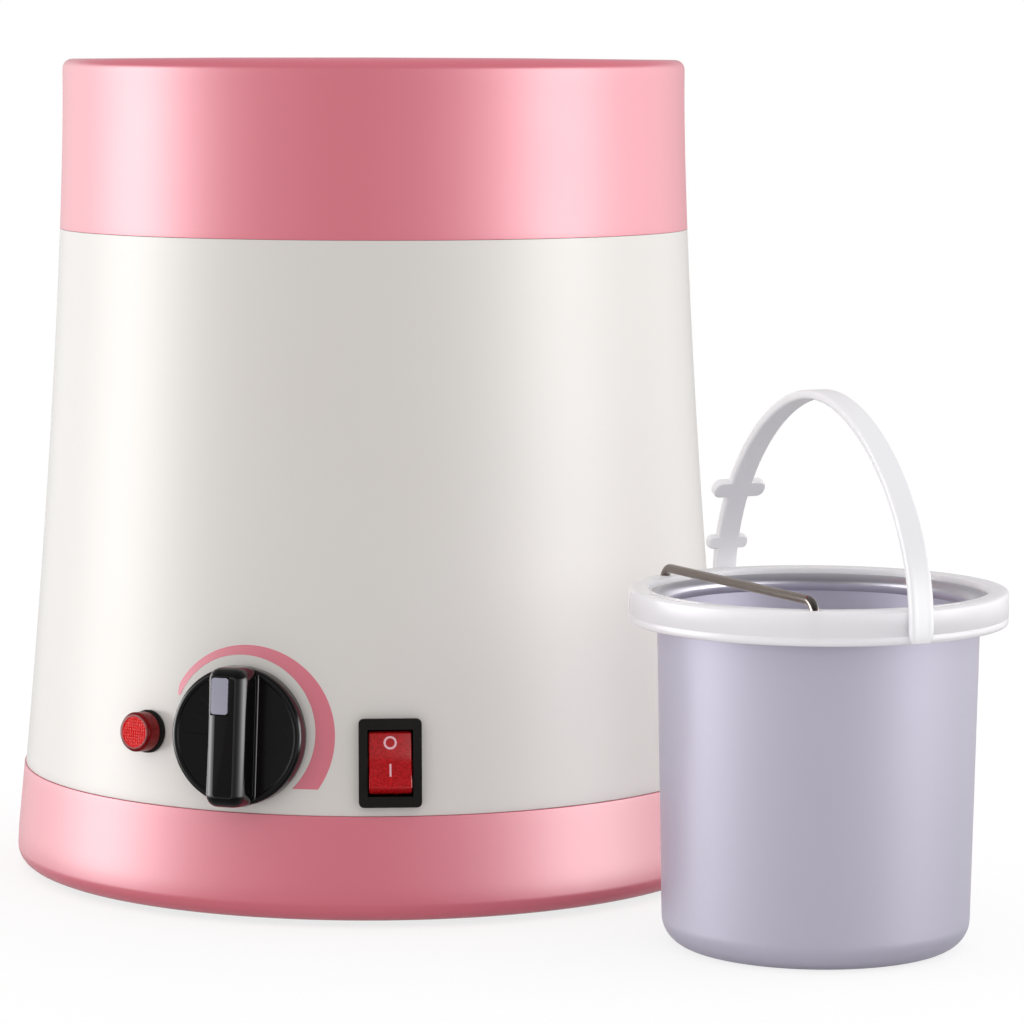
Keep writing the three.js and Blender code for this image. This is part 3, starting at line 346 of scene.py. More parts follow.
def sideways(azimuth):
    """Level direction to the right for a viewer who stands outside at this azimuth"""
    return Vector((cos(azimuth), sin(azimuth), 0))


def shift(x, y, z):
    return Matrix.Translation((x, y, z))


def axes(right, up, out):
    """The turn that points X, Y and Z these ways"""
    return Matrix((right, up, out)).transposed().to_4x4()


# Housing's outer wall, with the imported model's own formula
def wall_share(height):
    return max(0, (WALL_TOP - height) / WALL_TOP)


def wall_radius(height):
    return TOP_RADIUS + FLARE * wall_share(height) ** FLARE_POWER


def wall_tilt(height):
    return atan(FLARE * FLARE_POWER * wall_share(height) ** (FLARE_POWER - 1) / WALL_TOP)


def wall_frame(azimuth, height, radius=None):
    """A frame on the outer wall: +Z out of it, +Y up it, +X to its right seen from outside"""
    tilt = wall_tilt(height)
    across = sideways(azimuth)
    out = outward(azimuth) * cos(tilt) + UP * sin(tilt)
    foot = outward(azimuth) * (radius or wall_radius(height)) + UP * height
    return HEATER @ Matrix.Translation(foot) @ axes(across, out.cross(across), out)


def wall_line(bottom, top, inset=0.0):
    """Points (radius, height) up the housing's wall"""
    steps = max(2, round((top - bottom) / WALL_STEP))
    heights = [bottom + (top - bottom) * i / steps for i in range(steps + 1)]
    return [(wall_radius(z) - inset, z) for z in heights]


# Shapes
def rounded(corners, steps=FILLET_STEPS):
    """A closed outline through (x, y) corners; a third number draws the corner as an arc of that radius"""
    points = []
    for i, (x, y, *fillet) in enumerate(corners):
        if not any(fillet):
            points.append((x, y))
            continue
        corner, radius = Vector((x, y)), fillet[0]
        before = (Vector(corners[i - 1][:2]) - corner).normalized()
        after = (Vector(corners[(i + 1) % len(corners)][:2]) - corner).normalized()
        opening = before.angle(after) / 2
        reach = radius / tan(opening)
        centre = corner + (before + after).normalized() * radius / sin(opening)
        start = corner + before * reach - centre
        end = corner + after * reach - centre
        first = atan2(start.y, start.x)
        turn = (atan2(end.y, end.x) - first + pi) % (2 * pi) - pi
        points += arc(centre, radius, first, first + turn, steps)
    return points


def arc(centre, radius, start, end, steps):
    angles = [start + (end - start) * i / steps for i in range(steps + 1)]
    return [(centre[0] + radius * cos(a), centre[1] + radius * sin(a)) for a in angles]


def smooth(mesh):
    mesh.shade_smooth()
    mesh.set_sharp_from_angle(angle=CREASE)


def solid(name, shape, place=ORIGIN):
    """A smooth-shaded object from a closed bmesh, put in its place"""
    bmesh.ops.recalc_face_normals(shape, faces=shape.faces)
    shape.transform(place)
    mesh = bpy.data.meshes.new(name)
    shape.to_mesh(mesh)
    shape.free()
    smooth(mesh)
    piece = bpy.data.objects.new(name, mesh)
    bpy.context.scene.collection.objects.link(piece)
    return piece


def lathe(name, outline, place=ORIGIN, steps=ROUND_STEPS):
    """A solid turned round Z from a closed outline of (radius, height) points"""
    shape = bmesh.new()
    turns = [2 * pi * k / steps for k in range(steps)]
    rings = []
    for radius, height in outline:
        if radius < TINY:
            rings.append([shape.verts.new((0, 0, height))] * steps)
        else:
            points = [(radius * cos(t), radius * sin(t), height) for t in turns]
            rings.append([shape.verts.new(point) for point in points])
    join_rings(shape, rings, rings[1:] + rings[:1])
    return solid(name, shape, place)


def join_rings(shape, lower_rings, upper_rings):
    """Faces between each ring of points and the next, round the turn"""
    for lower, upper in zip(lower_rings, upper_rings):
        for k in range(len(lower)):
            after = (k + 1) % len(lower)
            corners = list(dict.fromkeys([lower[k], lower[after], upper[after], upper[k]]))
            if len(corners) > 2:
                shape.faces.new(corners)


def loft(name, loops, place=ORIGIN):
    """A solid through loops of 3-D points, closed by a face at each end"""
    shape = bmesh.new()
    rings = [[shape.verts.new(point) for point in loop] for loop in loops]
    join_rings(shape, rings[:-1], rings[1:])
    shape.faces.new(rings[0])
    shape.faces.new(rings[-1])
    return solid(name, shape, place)


def sweep(name, path, section, place=ORIGIN):
    """A solid along a path in the XZ plane; section gives each point's (across, outwards) outline"""
    loops = []
    for before, point, after in zip([path[0], *path], path, [*path[1:], path[-1]]):
        along = (after - before).normalized()
        out = ALONG_Y.cross(along)
        loops.append([point + ALONG_Y * x + out * y for x, y in section(point)])
    return loft(name, loops, place)


def pushed(name, outline, bottom, top, place):
    """An outline of (x, y) points pushed up along Z"""
    return loft(name, [[(x, y, z) for x, y in outline] for z in (bottom, top)], place)


def eased_levels(bottom, top, low_ease, high_ease):
    """Heights of a slab's loops, and how far each draws in for the eased edges"""
    quarter = [pi / 2 * i / FILLET_STEPS for i in range(FILLET_STEPS + 1)]
    low = [(bottom + low_ease * (1 - cos(a)), low_ease * (1 - sin(a))) for a in quarter]
    high = [(top - high_ease * (1 - cos(a)), high_ease * (1 - sin(a))) for a in quarter]
    return (low if low_ease else low[:1]) + (high[::-1] if high_ease else high[:1])


def slab(name, width, length, corner, bottom, top, eases, place, taper=0):
    """A rounded-rectangle slab with eased edges at its bottom and top, and sides that may taper"""
    loops = []
    for height, ease in eased_levels(bottom, top, *eases):
        inset = ease + taper * (height - bottom) / (top - bottom) / 2
        edge = max(corner - inset, corner / 4)
        x, y = width / 2 - inset, length / 2 - inset
        outline = rounded([(x, y, edge), (-x, y, edge), (-x, -y, edge), (x, -y, edge)])
        loops.append([(x, y, height) for x, y in outline])
    return loft(name, loops, place)


def rod(radius, bottom, top, place):
    """A round bar to cut with or join on"""
    return lathe("rod", [(0, bottom), (radius, bottom), (radius, top), (0, top)], place, SMALL_STEPS)


def box(width, length, bottom, top, place):
    """A square-edged block to cut with"""
    x, y = width / 2, length / 2
    return pushed("box", [(x, y), (-x, y), (-x, -y), (x, -y)], bottom, top, place)


def settle(piece):
    """Turns a piece's modifiers into its mesh"""
    bpy.context.view_layer.update()
    graph = bpy.context.evaluated_depsgraph_get()
    mesh = bpy.data.meshes.new_from_object(piece.evaluated_get(graph))
    piece.modifiers.clear()
    piece.data = mesh
    smooth(mesh)


def combine(piece, tools, operation):
    """Joins or cuts a piece with tools, which are used up"""
    for tool in tools:
        step = piece.modifiers.new(operation, "BOOLEAN")
        step.operation = operation
        step.solver = "EXACT"
        step.object = tool
        settle(piece)
        bpy.data.objects.remove(tool)


def carve(piece, *tools):
    combine(piece, tools, "DIFFERENCE")


def join(piece, *tools):
    combine(piece, tools, "UNION")


def ease_edges(piece, width, segments, from_angle):
    """Rounds a piece's edges that turn by more than this angle"""
    step = piece.modifiers.new("ease", "BEVEL")
    step.width = width
    step.segments = segments
    step.limit_method = "ANGLE"
    step.angle_limit = from_angle


# Shader nodes
def feed(tree, socket, value):
    """Sets a socket, or links it where the value is another node's output"""
    if isinstance(value, bpy.types.NodeSocket):
        tree.links.new(value, socket)
    else:
        socket.default_value = value


def feed_all(tree, node, inputs):
    for name, value in inputs.items():
        feed(tree, node.inputs[name.replace("_", " ")], value)
    return node


def add_node(tree, kind, **inputs):
    return feed_all(tree, tree.nodes.new(f"ShaderNode{kind}"), inputs)


def math_node(tree, operation, *values):
    node = add_node(tree, "Math")
    node.operation = operation
    for socket, value in zip(node.inputs, values):
        feed(tree, socket, value)
    return node.outputs[0]


def mixed(tree, factor, first, second):
    """Two colours mixed by a factor"""
    node = add_node(tree, "Mix")
    node.data_type = "RGBA"
    feed_all(tree, node, {"Factor": factor, "A": first, "B": second})
    return node.outputs["Result"]


def shade(made, **inputs):
    """Sets or links inputs of a material's shader"""
    feed_all(made.node_tree, made.node_tree.nodes["Principled BSDF"], inputs)
    return made


# Materials: tints are screen colours, 0 to 255
def new_finish(tint, roughness, metallic=0.0, gloss=0.5):
    """A material that patterns are added to"""
    made = bpy.data.materials.new("finish")
    made.use_nodes = True
    return shade(made, Base_Color=colour(tint), Roughness=roughness, Metallic=metallic,
                 Specular_IOR_Level=gloss)


def object_place(tree, stretch=(1, 1, 1)):
    """Where a pattern is read: the object's own coordinates, stretched"""
    places = add_node(tree, "TexCoord").outputs["Object"]
    return add_node(tree, "Mapping", Scale=stretch, Vector=places).outputs["Vector"]


def cloud(made, scale, detail=3.0, stretch=(1, 1, 1)):
    """A soft noise pattern, from 0 to 1"""
    tree = made.node_tree
    place = object_place(tree, stretch)
    return add_node(tree, "TexNoise", Vector=place, Scale=scale, Detail=detail, Roughness=0.55).outputs["Fac"]


def grains(made, scale):
    """Small cells, each of its own brightness"""
    tree = made.node_tree
    return add_node(tree, "TexVoronoi", Vector=object_place(tree), Scale=scale, Randomness=1.0)


def between(made, pattern, low, high):
    """The middle half of a pattern's range, mapped to a range of numbers"""
    node = add_node(made.node_tree, "MapRange", Value=pattern, From_Min=0.25, From_Max=0.75,
                    To_Min=low, To_Max=high)
    return node.outputs["Result"]


def vary_colour(made, pattern, first, second):
    share = between(made, pattern, 0, 1)
    shade(made, Base_Color=mixed(made.node_tree, share, colour(first), colour(second)))


def vary_roughness(made, pattern, low, high):
    shade(made, Roughness=between(made, pattern, low, high))


def relief(made, pattern, height, strength=1.0):
    """Fine relief in the surface, of this height in metres"""
    bump = add_node(made.node_tree, "Bump", Height=pattern, Distance=height, Strength=strength)
    shade(made, Normal=bump.outputs["Normal"])


def glossy_plastic(tint, other, roughness, gloss=0.5):
    """Moulded plastic with a gloss: faint colour clouds, slight haze and orange peel"""
    made = new_finish(tint, roughness, gloss=gloss)
    vary_colour(made, cloud(made, 14), tint, other)
    vary_roughness(made, cloud(made, 60), roughness, roughness + 0.02)
    relief(made, cloud(made, 260, 2), 0.000003)
    return made


def pink_plastic():
    return glossy_plastic(PINK, PINK_CLOUD, 0.24, 1.0)


def pink_satin():
    """The lid's flat top, duller than its side"""
    return glossy_plastic(PINK, PINK_CLOUD, 0.4, 0.12)


def white_plastic():
    return glossy_plastic((226, 222, 217), (225, 220, 215), 0.2)


def bail_white_painted_light():
    """The pot handle's white plastic, painted brighter than the heater's white: painted light for the
    brighter light that falls on the pot
    """
    return glossy_plastic((248, 247, 249), (245, 244, 247), 0.3)


def mark_paint():
    """Whitish paint of the switch's marks, tinted by the red under it"""
    return glossy_plastic((240, 190, 198), (233, 178, 188), 0.35)


def black_gloss():
    return glossy_plastic((13, 12, 13), (16, 15, 16), 0.1)


def black_face():
    """The knob's flat faces, duller than its edges"""
    return glossy_plastic((15, 13, 13), (18, 16, 16), 0.2, 0.08)


def black_plastic():
    """Matt black moulding with a fine spark-eroded grain"""
    made = new_finish((28, 25, 24), 0.5, gloss=0.12)
    vary_colour(made, cloud(made, 40), (26, 23, 22), (33, 30, 29))
    vary_roughness(made, cloud(made, 90), 0.45, 0.6)
    relief(made, cloud(made, 2500, 2), 0.00001)
    return made


def red_plastic(low, high, scale, depth, gloss=0.5):
    """Clear red plastic with a fine grain in relief, its cells painted lighter and darker at random as
    painted sparkle glints
    """
    made = new_finish(high, 0.16, gloss=gloss)
    # Painted sparkle glints: the grain's cells are lighter and darker in the colour itself
    vary_colour(made, grains(made, scale).outputs["Color"], low, high)
    vary_roughness(made, cloud(made, 300), 0.12, 0.2)
    relief(made, grains(made, scale).outputs["Distance"], depth, 0.5)
    return made


def red_lens():
    return red_plastic((150, 12, 18), (205, 28, 34), 5200, 0.00002)


def lamp_side_painted_shade():
    """The lens's side: the same red plastic as its face, painted darker as painted shade, with a faint glow
    as of a lamp behind it
    """
    made = red_plastic((84, 6, 9), (110, 9, 13), 1200, 0.00001, 0.25)
    return shade(made, Emission_Color=colour((255, 24, 28)), Emission_Strength=0.04)


def lamp_face():
    made = red_plastic((198, 14, 16), (212, 20, 22), 1200, 0.00001, 0.15)
    return shade(made, Emission_Color=colour((255, 40, 36)), Emission_Strength=0.1)


def grey_mark():
    made = new_finish((158, 156, 172), 0.35)
    vary_colour(made, cloud(made, 200), (154, 152, 168), (164, 162, 178))
    relief(made, cloud(made, 1500, 2), 0.000004)
    return made


def frosted_plastic():
    """Slightly clear white plastic"""
    made = new_finish((240, 237, 241), 0.24)
    vary_colour(made, cloud(made, 30), (242, 239, 243), (237, 234, 239))
    vary_roughness(made, cloud(made, 120), 0.22, 0.27)
    relief(made, cloud(made, 400, 2), 0.000004)
    return shade(made, Subsurface_Weight=0.5, Subsurface_Radius=(FROST_DEPTH,) * 3, Subsurface_Scale=1.0)


def foot_rubber():
    made = new_finish((58, 58, 60), 0.85)
    vary_colour(made, cloud(made, 80), (52, 52, 54), (68, 68, 70))
    relief(made, cloud(made, 900), 0.00006)
    return made


def wool():
    made = new_finish((230, 223, 207), 0.95)
    vary_colour(made, cloud(made, 90), (238, 232, 218), (212, 203, 184))
    relief(made, cloud(made, 300, 6), 0.0006)
    return made


def moulding():
    made = new_finish((222, 219, 212), 0.5)
    vary_colour(made, cloud(made, 60), (224, 221, 214), (212, 208, 200))
    relief(made, cloud(made, 700, 2), 0.00003)
    return made


def brushed_metal(tint, other, roughness, stretch, metallic=1.0, gloss=0.5):
    """Metal with fine lines drawn round or along it"""
    made = new_finish(tint, roughness, metallic, gloss)
    vary_colour(made, cloud(made, 8), tint, other)
    vary_roughness(made, cloud(made, 60, 4, stretch), roughness - 0.02, roughness + 0.04)
    relief(made, cloud(made, 240, 4, stretch), 0.000004)
    return made


def pot_aluminium():
    """Anodised satin: a soft sheen over a pale body"""
    return brushed_metal((194, 190, 206), (190, 186, 203), 0.38, (1, 1, 10), 0.12, 0.3)


def lip_aluminium():
    """The rolled lip is polished bright"""
    return brushed_metal((188, 185, 194), (178, 175, 185), 0.3, (1, 1, 12), 0.6)


def well_aluminium():
    return brushed_metal((196, 198, 203), (188, 190, 196), 0.42, (1, 1, 14), 0.7)


def nickel_wire():
    made = brushed_metal((164, 155, 150), (132, 124, 120), 0.16, (3, 3, 3))
    relief(made, cloud(made, 1500, 4), 0.00001)
    return made


def steel():
    return brushed_metal((182, 184, 188), (165, 167, 172), 0.34, (4, 4, 1))


def brass():
    return brushed_metal((201, 166, 86), (184, 148, 72), 0.3, (1, 1, 8))


def copper():
    return brushed_metal((184, 113, 74), (166, 98, 62), 0.34, (2, 2, 6))


MAKERS = (
    pink_plastic, pink_satin, white_plastic, bail_white_painted_light, mark_paint, black_gloss, black_face,
    black_plastic, red_lens, lamp_side_painted_shade, lamp_face, grey_mark, frosted_plastic, foot_rubber, wool,
    moulding, pot_aluminium, lip_aluminium, well_aluminium, nickel_wire, steel, brass, copper,
)
FINISHES = {maker.__name__: maker() for maker in MAKERS}
for name, made in FINISHES.items():
    made.name = name


def dress(piece, slot, body, *nodes, finish=None):
    """Gives a piece its finish, the slot's unless another is named, and its body, and hides the CAD nodes
    that it stands for
    """
    piece.data.materials.clear()
    piece.data.materials.append(FINISHES[finish or slot])
    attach(piece, body)
    if nodes:
        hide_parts(*nodes)
    return piece


def refinish(piece, finish, chosen):
    """Gives another finish to the faces that a test picks"""
    piece.data.materials.append(FINISHES[finish])
    for face in piece.data.polygons:
        if chosen(face):
            face.material_index = 1


def dress_frame():
    """Every CAD node gets the finish of its slot"""
    for row in frame["record"]["subparts"]:
        node = frame["nodes"][row["node"]]
        node.data.materials.clear()
        node.data.materials.append(FINISHES[row["material_slot"]])


# Heights, radii and places that several pieces share
BASE_INNER = wall_radius(BASE_BORDER) + BASE_STAND_OUT - BASE_WALL
SEAT_HEIGHT = LID_BORDER - SEAT_DROP
WELL_OUTER = WELL_BORE + WELL_WALL
DECK_TOP = SEAT_HEIGHT - WELL_WALL - SEAT_GAP
DECK_FLOOR = DECK_TOP - DECK_SINK
DECK_UNDERSIDE = DECK_FLOOR - DECK_THICKNESS
DECK_LEDGE_TOP = DECK_UNDERSIDE - SEAT_GAP
RING_BOTTOM = POT_HEIGHT - RING_BAND
WELL_FLOOR = SEAT_HEIGHT - RING_BOTTOM
WELL_UNDERSIDE = WELL_FLOOR - WELL_WALL
PIVOT_HEIGHT = POT_HEIGHT - RING_BAND / 2
LEDGE_BOTTOM = PLATE_HEIGHT + PLATE_THICKNESS + SEAT_GAP
HANDLE_SPAN = RING_RADIUS + SEAT_GAP + SEAT_GAP / 2 + HANDLE_THICKNESS / 2
WIRE_END = sqrt(WIRE_CIRCLE ** 2 - WIRE_OFFSET ** 2)
KNOB_PLACE = wall_frame(KNOB_AZIMUTH, KNOB_HEIGHT)
POINTER_PLACE = KNOB_PLACE @ shift(-POINTER_SIDE, GRIP_LENGTH / 2 - POINTER_INSET - POINTER_LENGTH / 2, 0)
LAMP_PLACE = wall_frame(LAMP_AZIMUTH, LAMP_HEIGHT)
SWITCH_PLACE = wall_frame(SWITCH_AZIMUTH, SWITCH_HEIGHT)
ROCKER_PLACE = SWITCH_PLACE @ shift(0, 0, -ROCKER_PIVOT_DEPTH) @ Matrix.Rotation(-ROCKER_REST, 4, "X")
GLAND_PLACE = wall_frame(pi, GLAND_HEIGHT, wall_radius(GLAND_HEIGHT) + BASE_STAND_OUT)
HANDLE_PLACE = POT @ Matrix.Rotation(HANDLE_AZIMUTH, 4, "Z")


def make_lid():
    """Pink deep cap: rounded crown, thin wall and a skirt that drops inside the body"""
    bottom = LID_BORDER + BORDER_GAP
    rim = HEATER_HEIGHT - LID_CROWN
    ceiling = rim - LID_ROOF
    outer = wall_line(bottom, rim - 2 * LID_CORNER)
    skirt_outer = wall_radius(LID_BORDER) - SHELL_WALL - SEAT_GAP
    skirt_inner = skirt_outer - LID_SKIRT_WALL
    skirt_top = bottom + LID_SKIRT_RISE
    skirt_bottom = LID_BORDER - LID_SKIRT_DROP
    outline = rounded([
        (*outer[0], BORDER_EDGE),
        *outer[1:],
        (TOP_RADIUS, rim, LID_CORNER),
        (TOP_RADIUS / 2, HEATER_HEIGHT - LID_CROWN / 4, TOP_RADIUS),
        (0, HEATER_HEIGHT),
        (0, ceiling),
        (TOP_RADIUS - LID_WALL, ceiling, LID_CORNER),
        (wall_radius(skirt_top) - LID_WALL, skirt_top),
        (skirt_inner, skirt_top),
        (skirt_inner, skirt_bottom, BORDER_ROUND),
        (skirt_outer, skirt_bottom, BORDER_ROUND),
        (skirt_outer, bottom),
    ])
    lid = dress(lathe("lid_cap", outline, HEATER), "pink_plastic", "lid", "lid")
    refinish(lid, "pink_satin", lambda face: face.normal.angle(UP, pi) < FACE_TILT)


def make_body():
    """White housing with its inner ledge and the openings for the controls"""
    bottom = BASE_BORDER + BORDER_GAP
    outer = wall_line(bottom, LID_BORDER)
    inner = wall_line(bottom, DECK_LEDGE_TOP - DECK_LEDGE_THICKNESS * 2, SHELL_WALL)[::INNER_WALL_STEPS]
    mouth = wall_radius(LID_BORDER) - SHELL_WALL
    outline = rounded([
        (*outer[0], BORDER_EDGE),
        *outer[1:-1],
        (*outer[-1], BORDER_EDGE),
        (mouth, LID_BORDER, BORDER_EDGE),
        (mouth, DECK_LEDGE_TOP),
        (mouth - DECK_LEDGE_WIDTH, DECK_LEDGE_TOP),
        (mouth - DECK_LEDGE_WIDTH, DECK_LEDGE_TOP - DECK_LEDGE_THICKNESS),
        *inner[::-1],
    ])
    body = lathe("housing", outline, HEATER)
    deep = -SHELL_WALL * 2
    switch_hole = (SWITCH_BODY_WIDTH + 2 * SEAT_GAP, SWITCH_BODY_LENGTH + 2 * SEAT_GAP)
    carve(
        body,
        rod(BUSH_RADIUS + SEAT_GAP, deep, OVERRUN, KNOB_PLACE),
        rod(LAMP_BARREL_RADIUS + SEAT_GAP, deep, OVERRUN, LAMP_PLACE),
        box(*switch_hole, deep, OVERRUN, SWITCH_PLACE),
    )
    dress(body, "white_plastic", "heater", "body_shell")


def make_base():
    """Pink band under the body, with a large lower round, a ledge and a spigot"""
    wall = wall_line(BASE_LIFT + BASE_CORNER * 2, BASE_BORDER, -BASE_STAND_OUT)
    spigot_outer = wall_radius(BASE_BORDER + SPIGOT_RISE) - SHELL_WALL - SEAT_GAP
    spigot_inner = spigot_outer - SPIGOT_WALL
    ledge_top = LEDGE_BOTTOM + BASE_LEDGE_THICKNESS
    outline = rounded([
        (BASE_INNER, BASE_LIFT, BORDER_ROUND),
        (wall_radius(BASE_LIFT), BASE_LIFT, BASE_CORNER),
        *wall[:-1],
        (*wall[-1], BORDER_EDGE),
        (spigot_outer, BASE_BORDER),
        (spigot_outer, BASE_BORDER + SPIGOT_RISE),
        (spigot_inner, BASE_BORDER + SPIGOT_RISE),
        (spigot_inner, BASE_BORDER - SPIGOT_HEIGHT),
        (BASE_INNER, BASE_BORDER - SPIGOT_HEIGHT),
        (BASE_INNER, ledge_top),
        (BASE_INNER - BASE_LEDGE_WIDTH, ledge_top),
        (BASE_INNER - BASE_LEDGE_WIDTH, LEDGE_BOTTOM),
        (BASE_INNER, LEDGE_BOTTOM),
    ])
    base = lathe("base_band", outline, HEATER)
    switch_notch = (SWITCH_BODY_WIDTH + 4 * SEAT_GAP, SWITCH_BODY_LENGTH + 2 * SEAT_GAP)
    carve(
        base,
        rod(GLAND_BARREL_RADIUS + SEAT_GAP, -GLAND_BARREL_LENGTH, OVERRUN, GLAND_PLACE),
        box(*switch_notch, -2 * SWITCH_BODY_WIDTH, OVERRUN, SWITCH_PLACE),
    )
    dress(base, "pink_plastic", "heater", "base_shell")


def tie_places():
    circle = wall_radius(LID_BORDER) - TIE_INSET
    turns = [TIE_START + 2 * pi * i / TIE_COUNT for i in range(TIE_COUNT)]
    return [HEATER @ shift(circle * cos(turn), circle * sin(turn), 0) for turn in turns]


def make_deck():
    """Deck round the well's mouth, with its gutter, skirt and posts"""
    inner = WELL_OUTER + RUNNING_GAP
    lip_end = inner + DECK_LIP_WIDTH
    outer = wall_radius(LID_BORDER) - SHELL_WALL - SEAT_GAP
    skirt_inner = SHIELD_RADIUS + SEAT_GAP
    skirt_outer = skirt_inner + DECK_SKIRT_WALL
    outline = rounded([
        (inner, DECK_TOP - DECK_THICKNESS),
        (lip_end - DECK_THICKNESS, DECK_TOP - DECK_THICKNESS),
        (skirt_inner, DECK_UNDERSIDE),
        (skirt_inner, DECK_UNDERSIDE - DECK_SKIRT_DROP),
        (skirt_outer, DECK_UNDERSIDE - DECK_SKIRT_DROP),
        (skirt_outer, DECK_UNDERSIDE),
        (outer, DECK_UNDERSIDE),
        (outer, DECK_FLOOR),
        (lip_end + DECK_SLOPE, DECK_FLOOR, DECK_SLOPE),
        (lip_end, DECK_TOP, DECK_ROUND),
        (inner, DECK_TOP),
    ])
    deck = lathe("deck", outline, HEATER)
    bottom = TIE_BOSS_TOP + SEAT_GAP
    for place in tie_places():
        join(deck, rod(DECK_POST_RADIUS, bottom, DECK_FLOOR - DECK_THICKNESS / 2, place))
        carve(deck, rod(TIE_SHANK + SEAT_GAP, bottom - OVERRUN, TIE_REACH + OVERRUN, place))
    dress(deck, "white_plastic", "heater", "deck_ring")


def make_well():
    """Deep aluminium cup with the flange that carries the pot"""
    flange = WELL_BORE + WELL_FLANGE_WIDTH
    outline = rounded([
        (0, WELL_UNDERSIDE),
        (WELL_OUTER, WELL_UNDERSIDE, WELL_CORNER),
        (WELL_OUTER, SEAT_HEIGHT - WELL_WALL),
        (flange, SEAT_HEIGHT - WELL_WALL),
        (flange, SEAT_HEIGHT),
        (WELL_BORE, SEAT_HEIGHT, BORDER_ROUND),
        (WELL_BORE, WELL_FLOOR, WELL_CORNER - WELL_WALL),
        (0, WELL_FLOOR),
    ])
    well = lathe("well_cup", outline, HEATER)
    boss_bottom = WELL_UNDERSIDE - CLIP_BOSS_HEIGHT
    join(well, rod(CLIP_BOSS_RADIUS, boss_bottom, WELL_UNDERSIDE + WELL_WALL / 2, HEATER))
    carve(well, rod(CLIP_SCREW_RADIUS + SEAT_GAP, boss_bottom - OVERRUN, WELL_UNDERSIDE, HEATER))
    dress(well, "well_aluminium", "heater", "heating_well")


def make_feet():
    for i in range(FOOT_COUNT):
        node = f"foot_{i + 1}"
        low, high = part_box(node)
        radius = (high[0] - low[0]) / 2
        outline = rounded([(0, 0), (radius, 0, FOOT_ROUND), (radius, high[2]), (0, high[2])])
        foot = lathe(f"rubber_{node}", outline, Matrix.Translation(centre_of(node)), SMALL_STEPS)
        dress(foot, "foot_rubber", "heater", node)


def make_knob():
    """Black disc with a raised rim line, and a tall bar across it whose ends hang over the edge"""
    bottom = KNOB_STAND_OFF
    disc_top = bottom + KNOB_DISC_HEIGHT
    face = disc_top - KNOB_FACE_DROP
    rim = KNOB_RADIUS - KNOB_RIM_WIDTH - KNOB_EASE
    outline = rounded([
        (0, bottom),
        (KNOB_RADIUS, bottom, KNOB_EASE / 2),
        (KNOB_RADIUS, disc_top, KNOB_EASE),
        (rim, disc_top, KNOB_FACE_DROP),
        (rim - KNOB_FACE_DROP, face, KNOB_FACE_DROP),
        (0, face),
    ])
    knob = lathe("dial", outline, KNOB_PLACE)
    grip = slab("grip", GRIP_WIDTH, GRIP_LENGTH, GRIP_END_ROUND, disc_top - GRIP_DROP, GRIP_TOP,
                (GRIP_ROUND / 2, GRIP_ROUND), KNOB_PLACE, GRIP_WIDTH - GRIP_TIP_WIDTH)
    root = slab("root", GRIP_WIDTH + 2 * GRIP_ROOT, GRIP_ROOT_LENGTH, GRIP_ROOT,
                bottom + KNOB_DISC_HEIGHT / 2, face + GRIP_ROOT, (0, GRIP_ROOT), KNOB_PLACE)
    join(knob, grip, root)
    pocket = rod(KNOB_POCKET_RADIUS, bottom - OVERRUN, KNOB_POCKET_TOP, KNOB_PLACE)
    bore_radius = SHAFT_RADIUS + SEAT_GAP
    bore = rod(bore_radius, KNOB_POCKET_TOP - OVERRUN, SHAFT_REACH + SEAT_GAP, KNOB_PLACE)
    flat_place = KNOB_PLACE @ shift(bore_radius - SHAFT_FLAT + SHAFT_RADIUS / 2, 0, 0)
    carve(bore, box(SHAFT_RADIUS, SHAFT_RADIUS * 3, KNOB_POCKET_TOP, GRIP_TOP, flat_place))
    seat = (POINTER_WIDTH + 2 * SEAT_GAP, POINTER_LENGTH + 2 * SEAT_GAP)
    seat_floor = GRIP_TOP - POINTER_THICKNESS - SEAT_GAP
    carve(knob, pocket, bore, box(*seat, seat_floor, GRIP_TOP + OVERRUN, POINTER_PLACE))
    dress(knob, "black_gloss", "knob", "knob")
    out = KNOB_PLACE.to_3x3().col[2]
    refinish(knob, "black_face", lambda flat: flat.normal.angle(out, pi) < FACE_TILT)


def make_pointer():
    """Grey inlay near the upper end of the knob's bar"""
    top = GRIP_TOP + POINTER_PROUD
    pointer = slab("pointer_inlay", POINTER_WIDTH, POINTER_LENGTH, POINTER_INSET / 4,
                   GRIP_TOP - POINTER_THICKNESS, top, (0, POINTER_PROUD), POINTER_PLACE)
    dress(pointer, "grey_mark", "knob", "knob_pointer")


def on_wall(across, up, proud):
    """A point of the wall's print, this far across and up from the knob's axis and out of the wall"""
    height = KNOB_HEIGHT + up * cos(wall_tilt(KNOB_HEIGHT))
    return wall_frame(across / wall_radius(height), height) @ Vector((0, 0, proud))


def scale_edges(share):
    """Inner and outer edge of the crescent at this share of its length, from its flat cut to its tip"""
    edges = []
    for circle in (SCALE_INNER, SCALE_OUTER):
        start = -asin((SCALE_CUT + circle["rise"]) / circle["radius"])
        angle = start + (SCALE_END - start) * share
        middle = Vector((circle["aside"], circle["rise"]))
        edges.append(middle + Vector((cos(angle), sin(angle))) * circle["radius"])
    inner, outer = edges
    return inner, inner.lerp(outer, sqrt(min(1, (1 - share) / SCALE_TIP)))


def make_scale():
    """Printed pink crescent that grows thicker clockwise round the knob"""
    loops = []
    for i in range(SCALE_STEPS):
        inner, outer = scale_edges(i / SCALE_STEPS)
        line = [inner.lerp(outer, k / SCALE_ROWS) for k in range(SCALE_ROWS + 1)]
        front = [on_wall(*point, SCALE_FILM) for point in line]
        back = [on_wall(*point, -SCALE_BURIED) for point in reversed(line)]
        loops.append(front + back)
    dress(loft("dial_scale", loops), "pink_plastic", "heater")


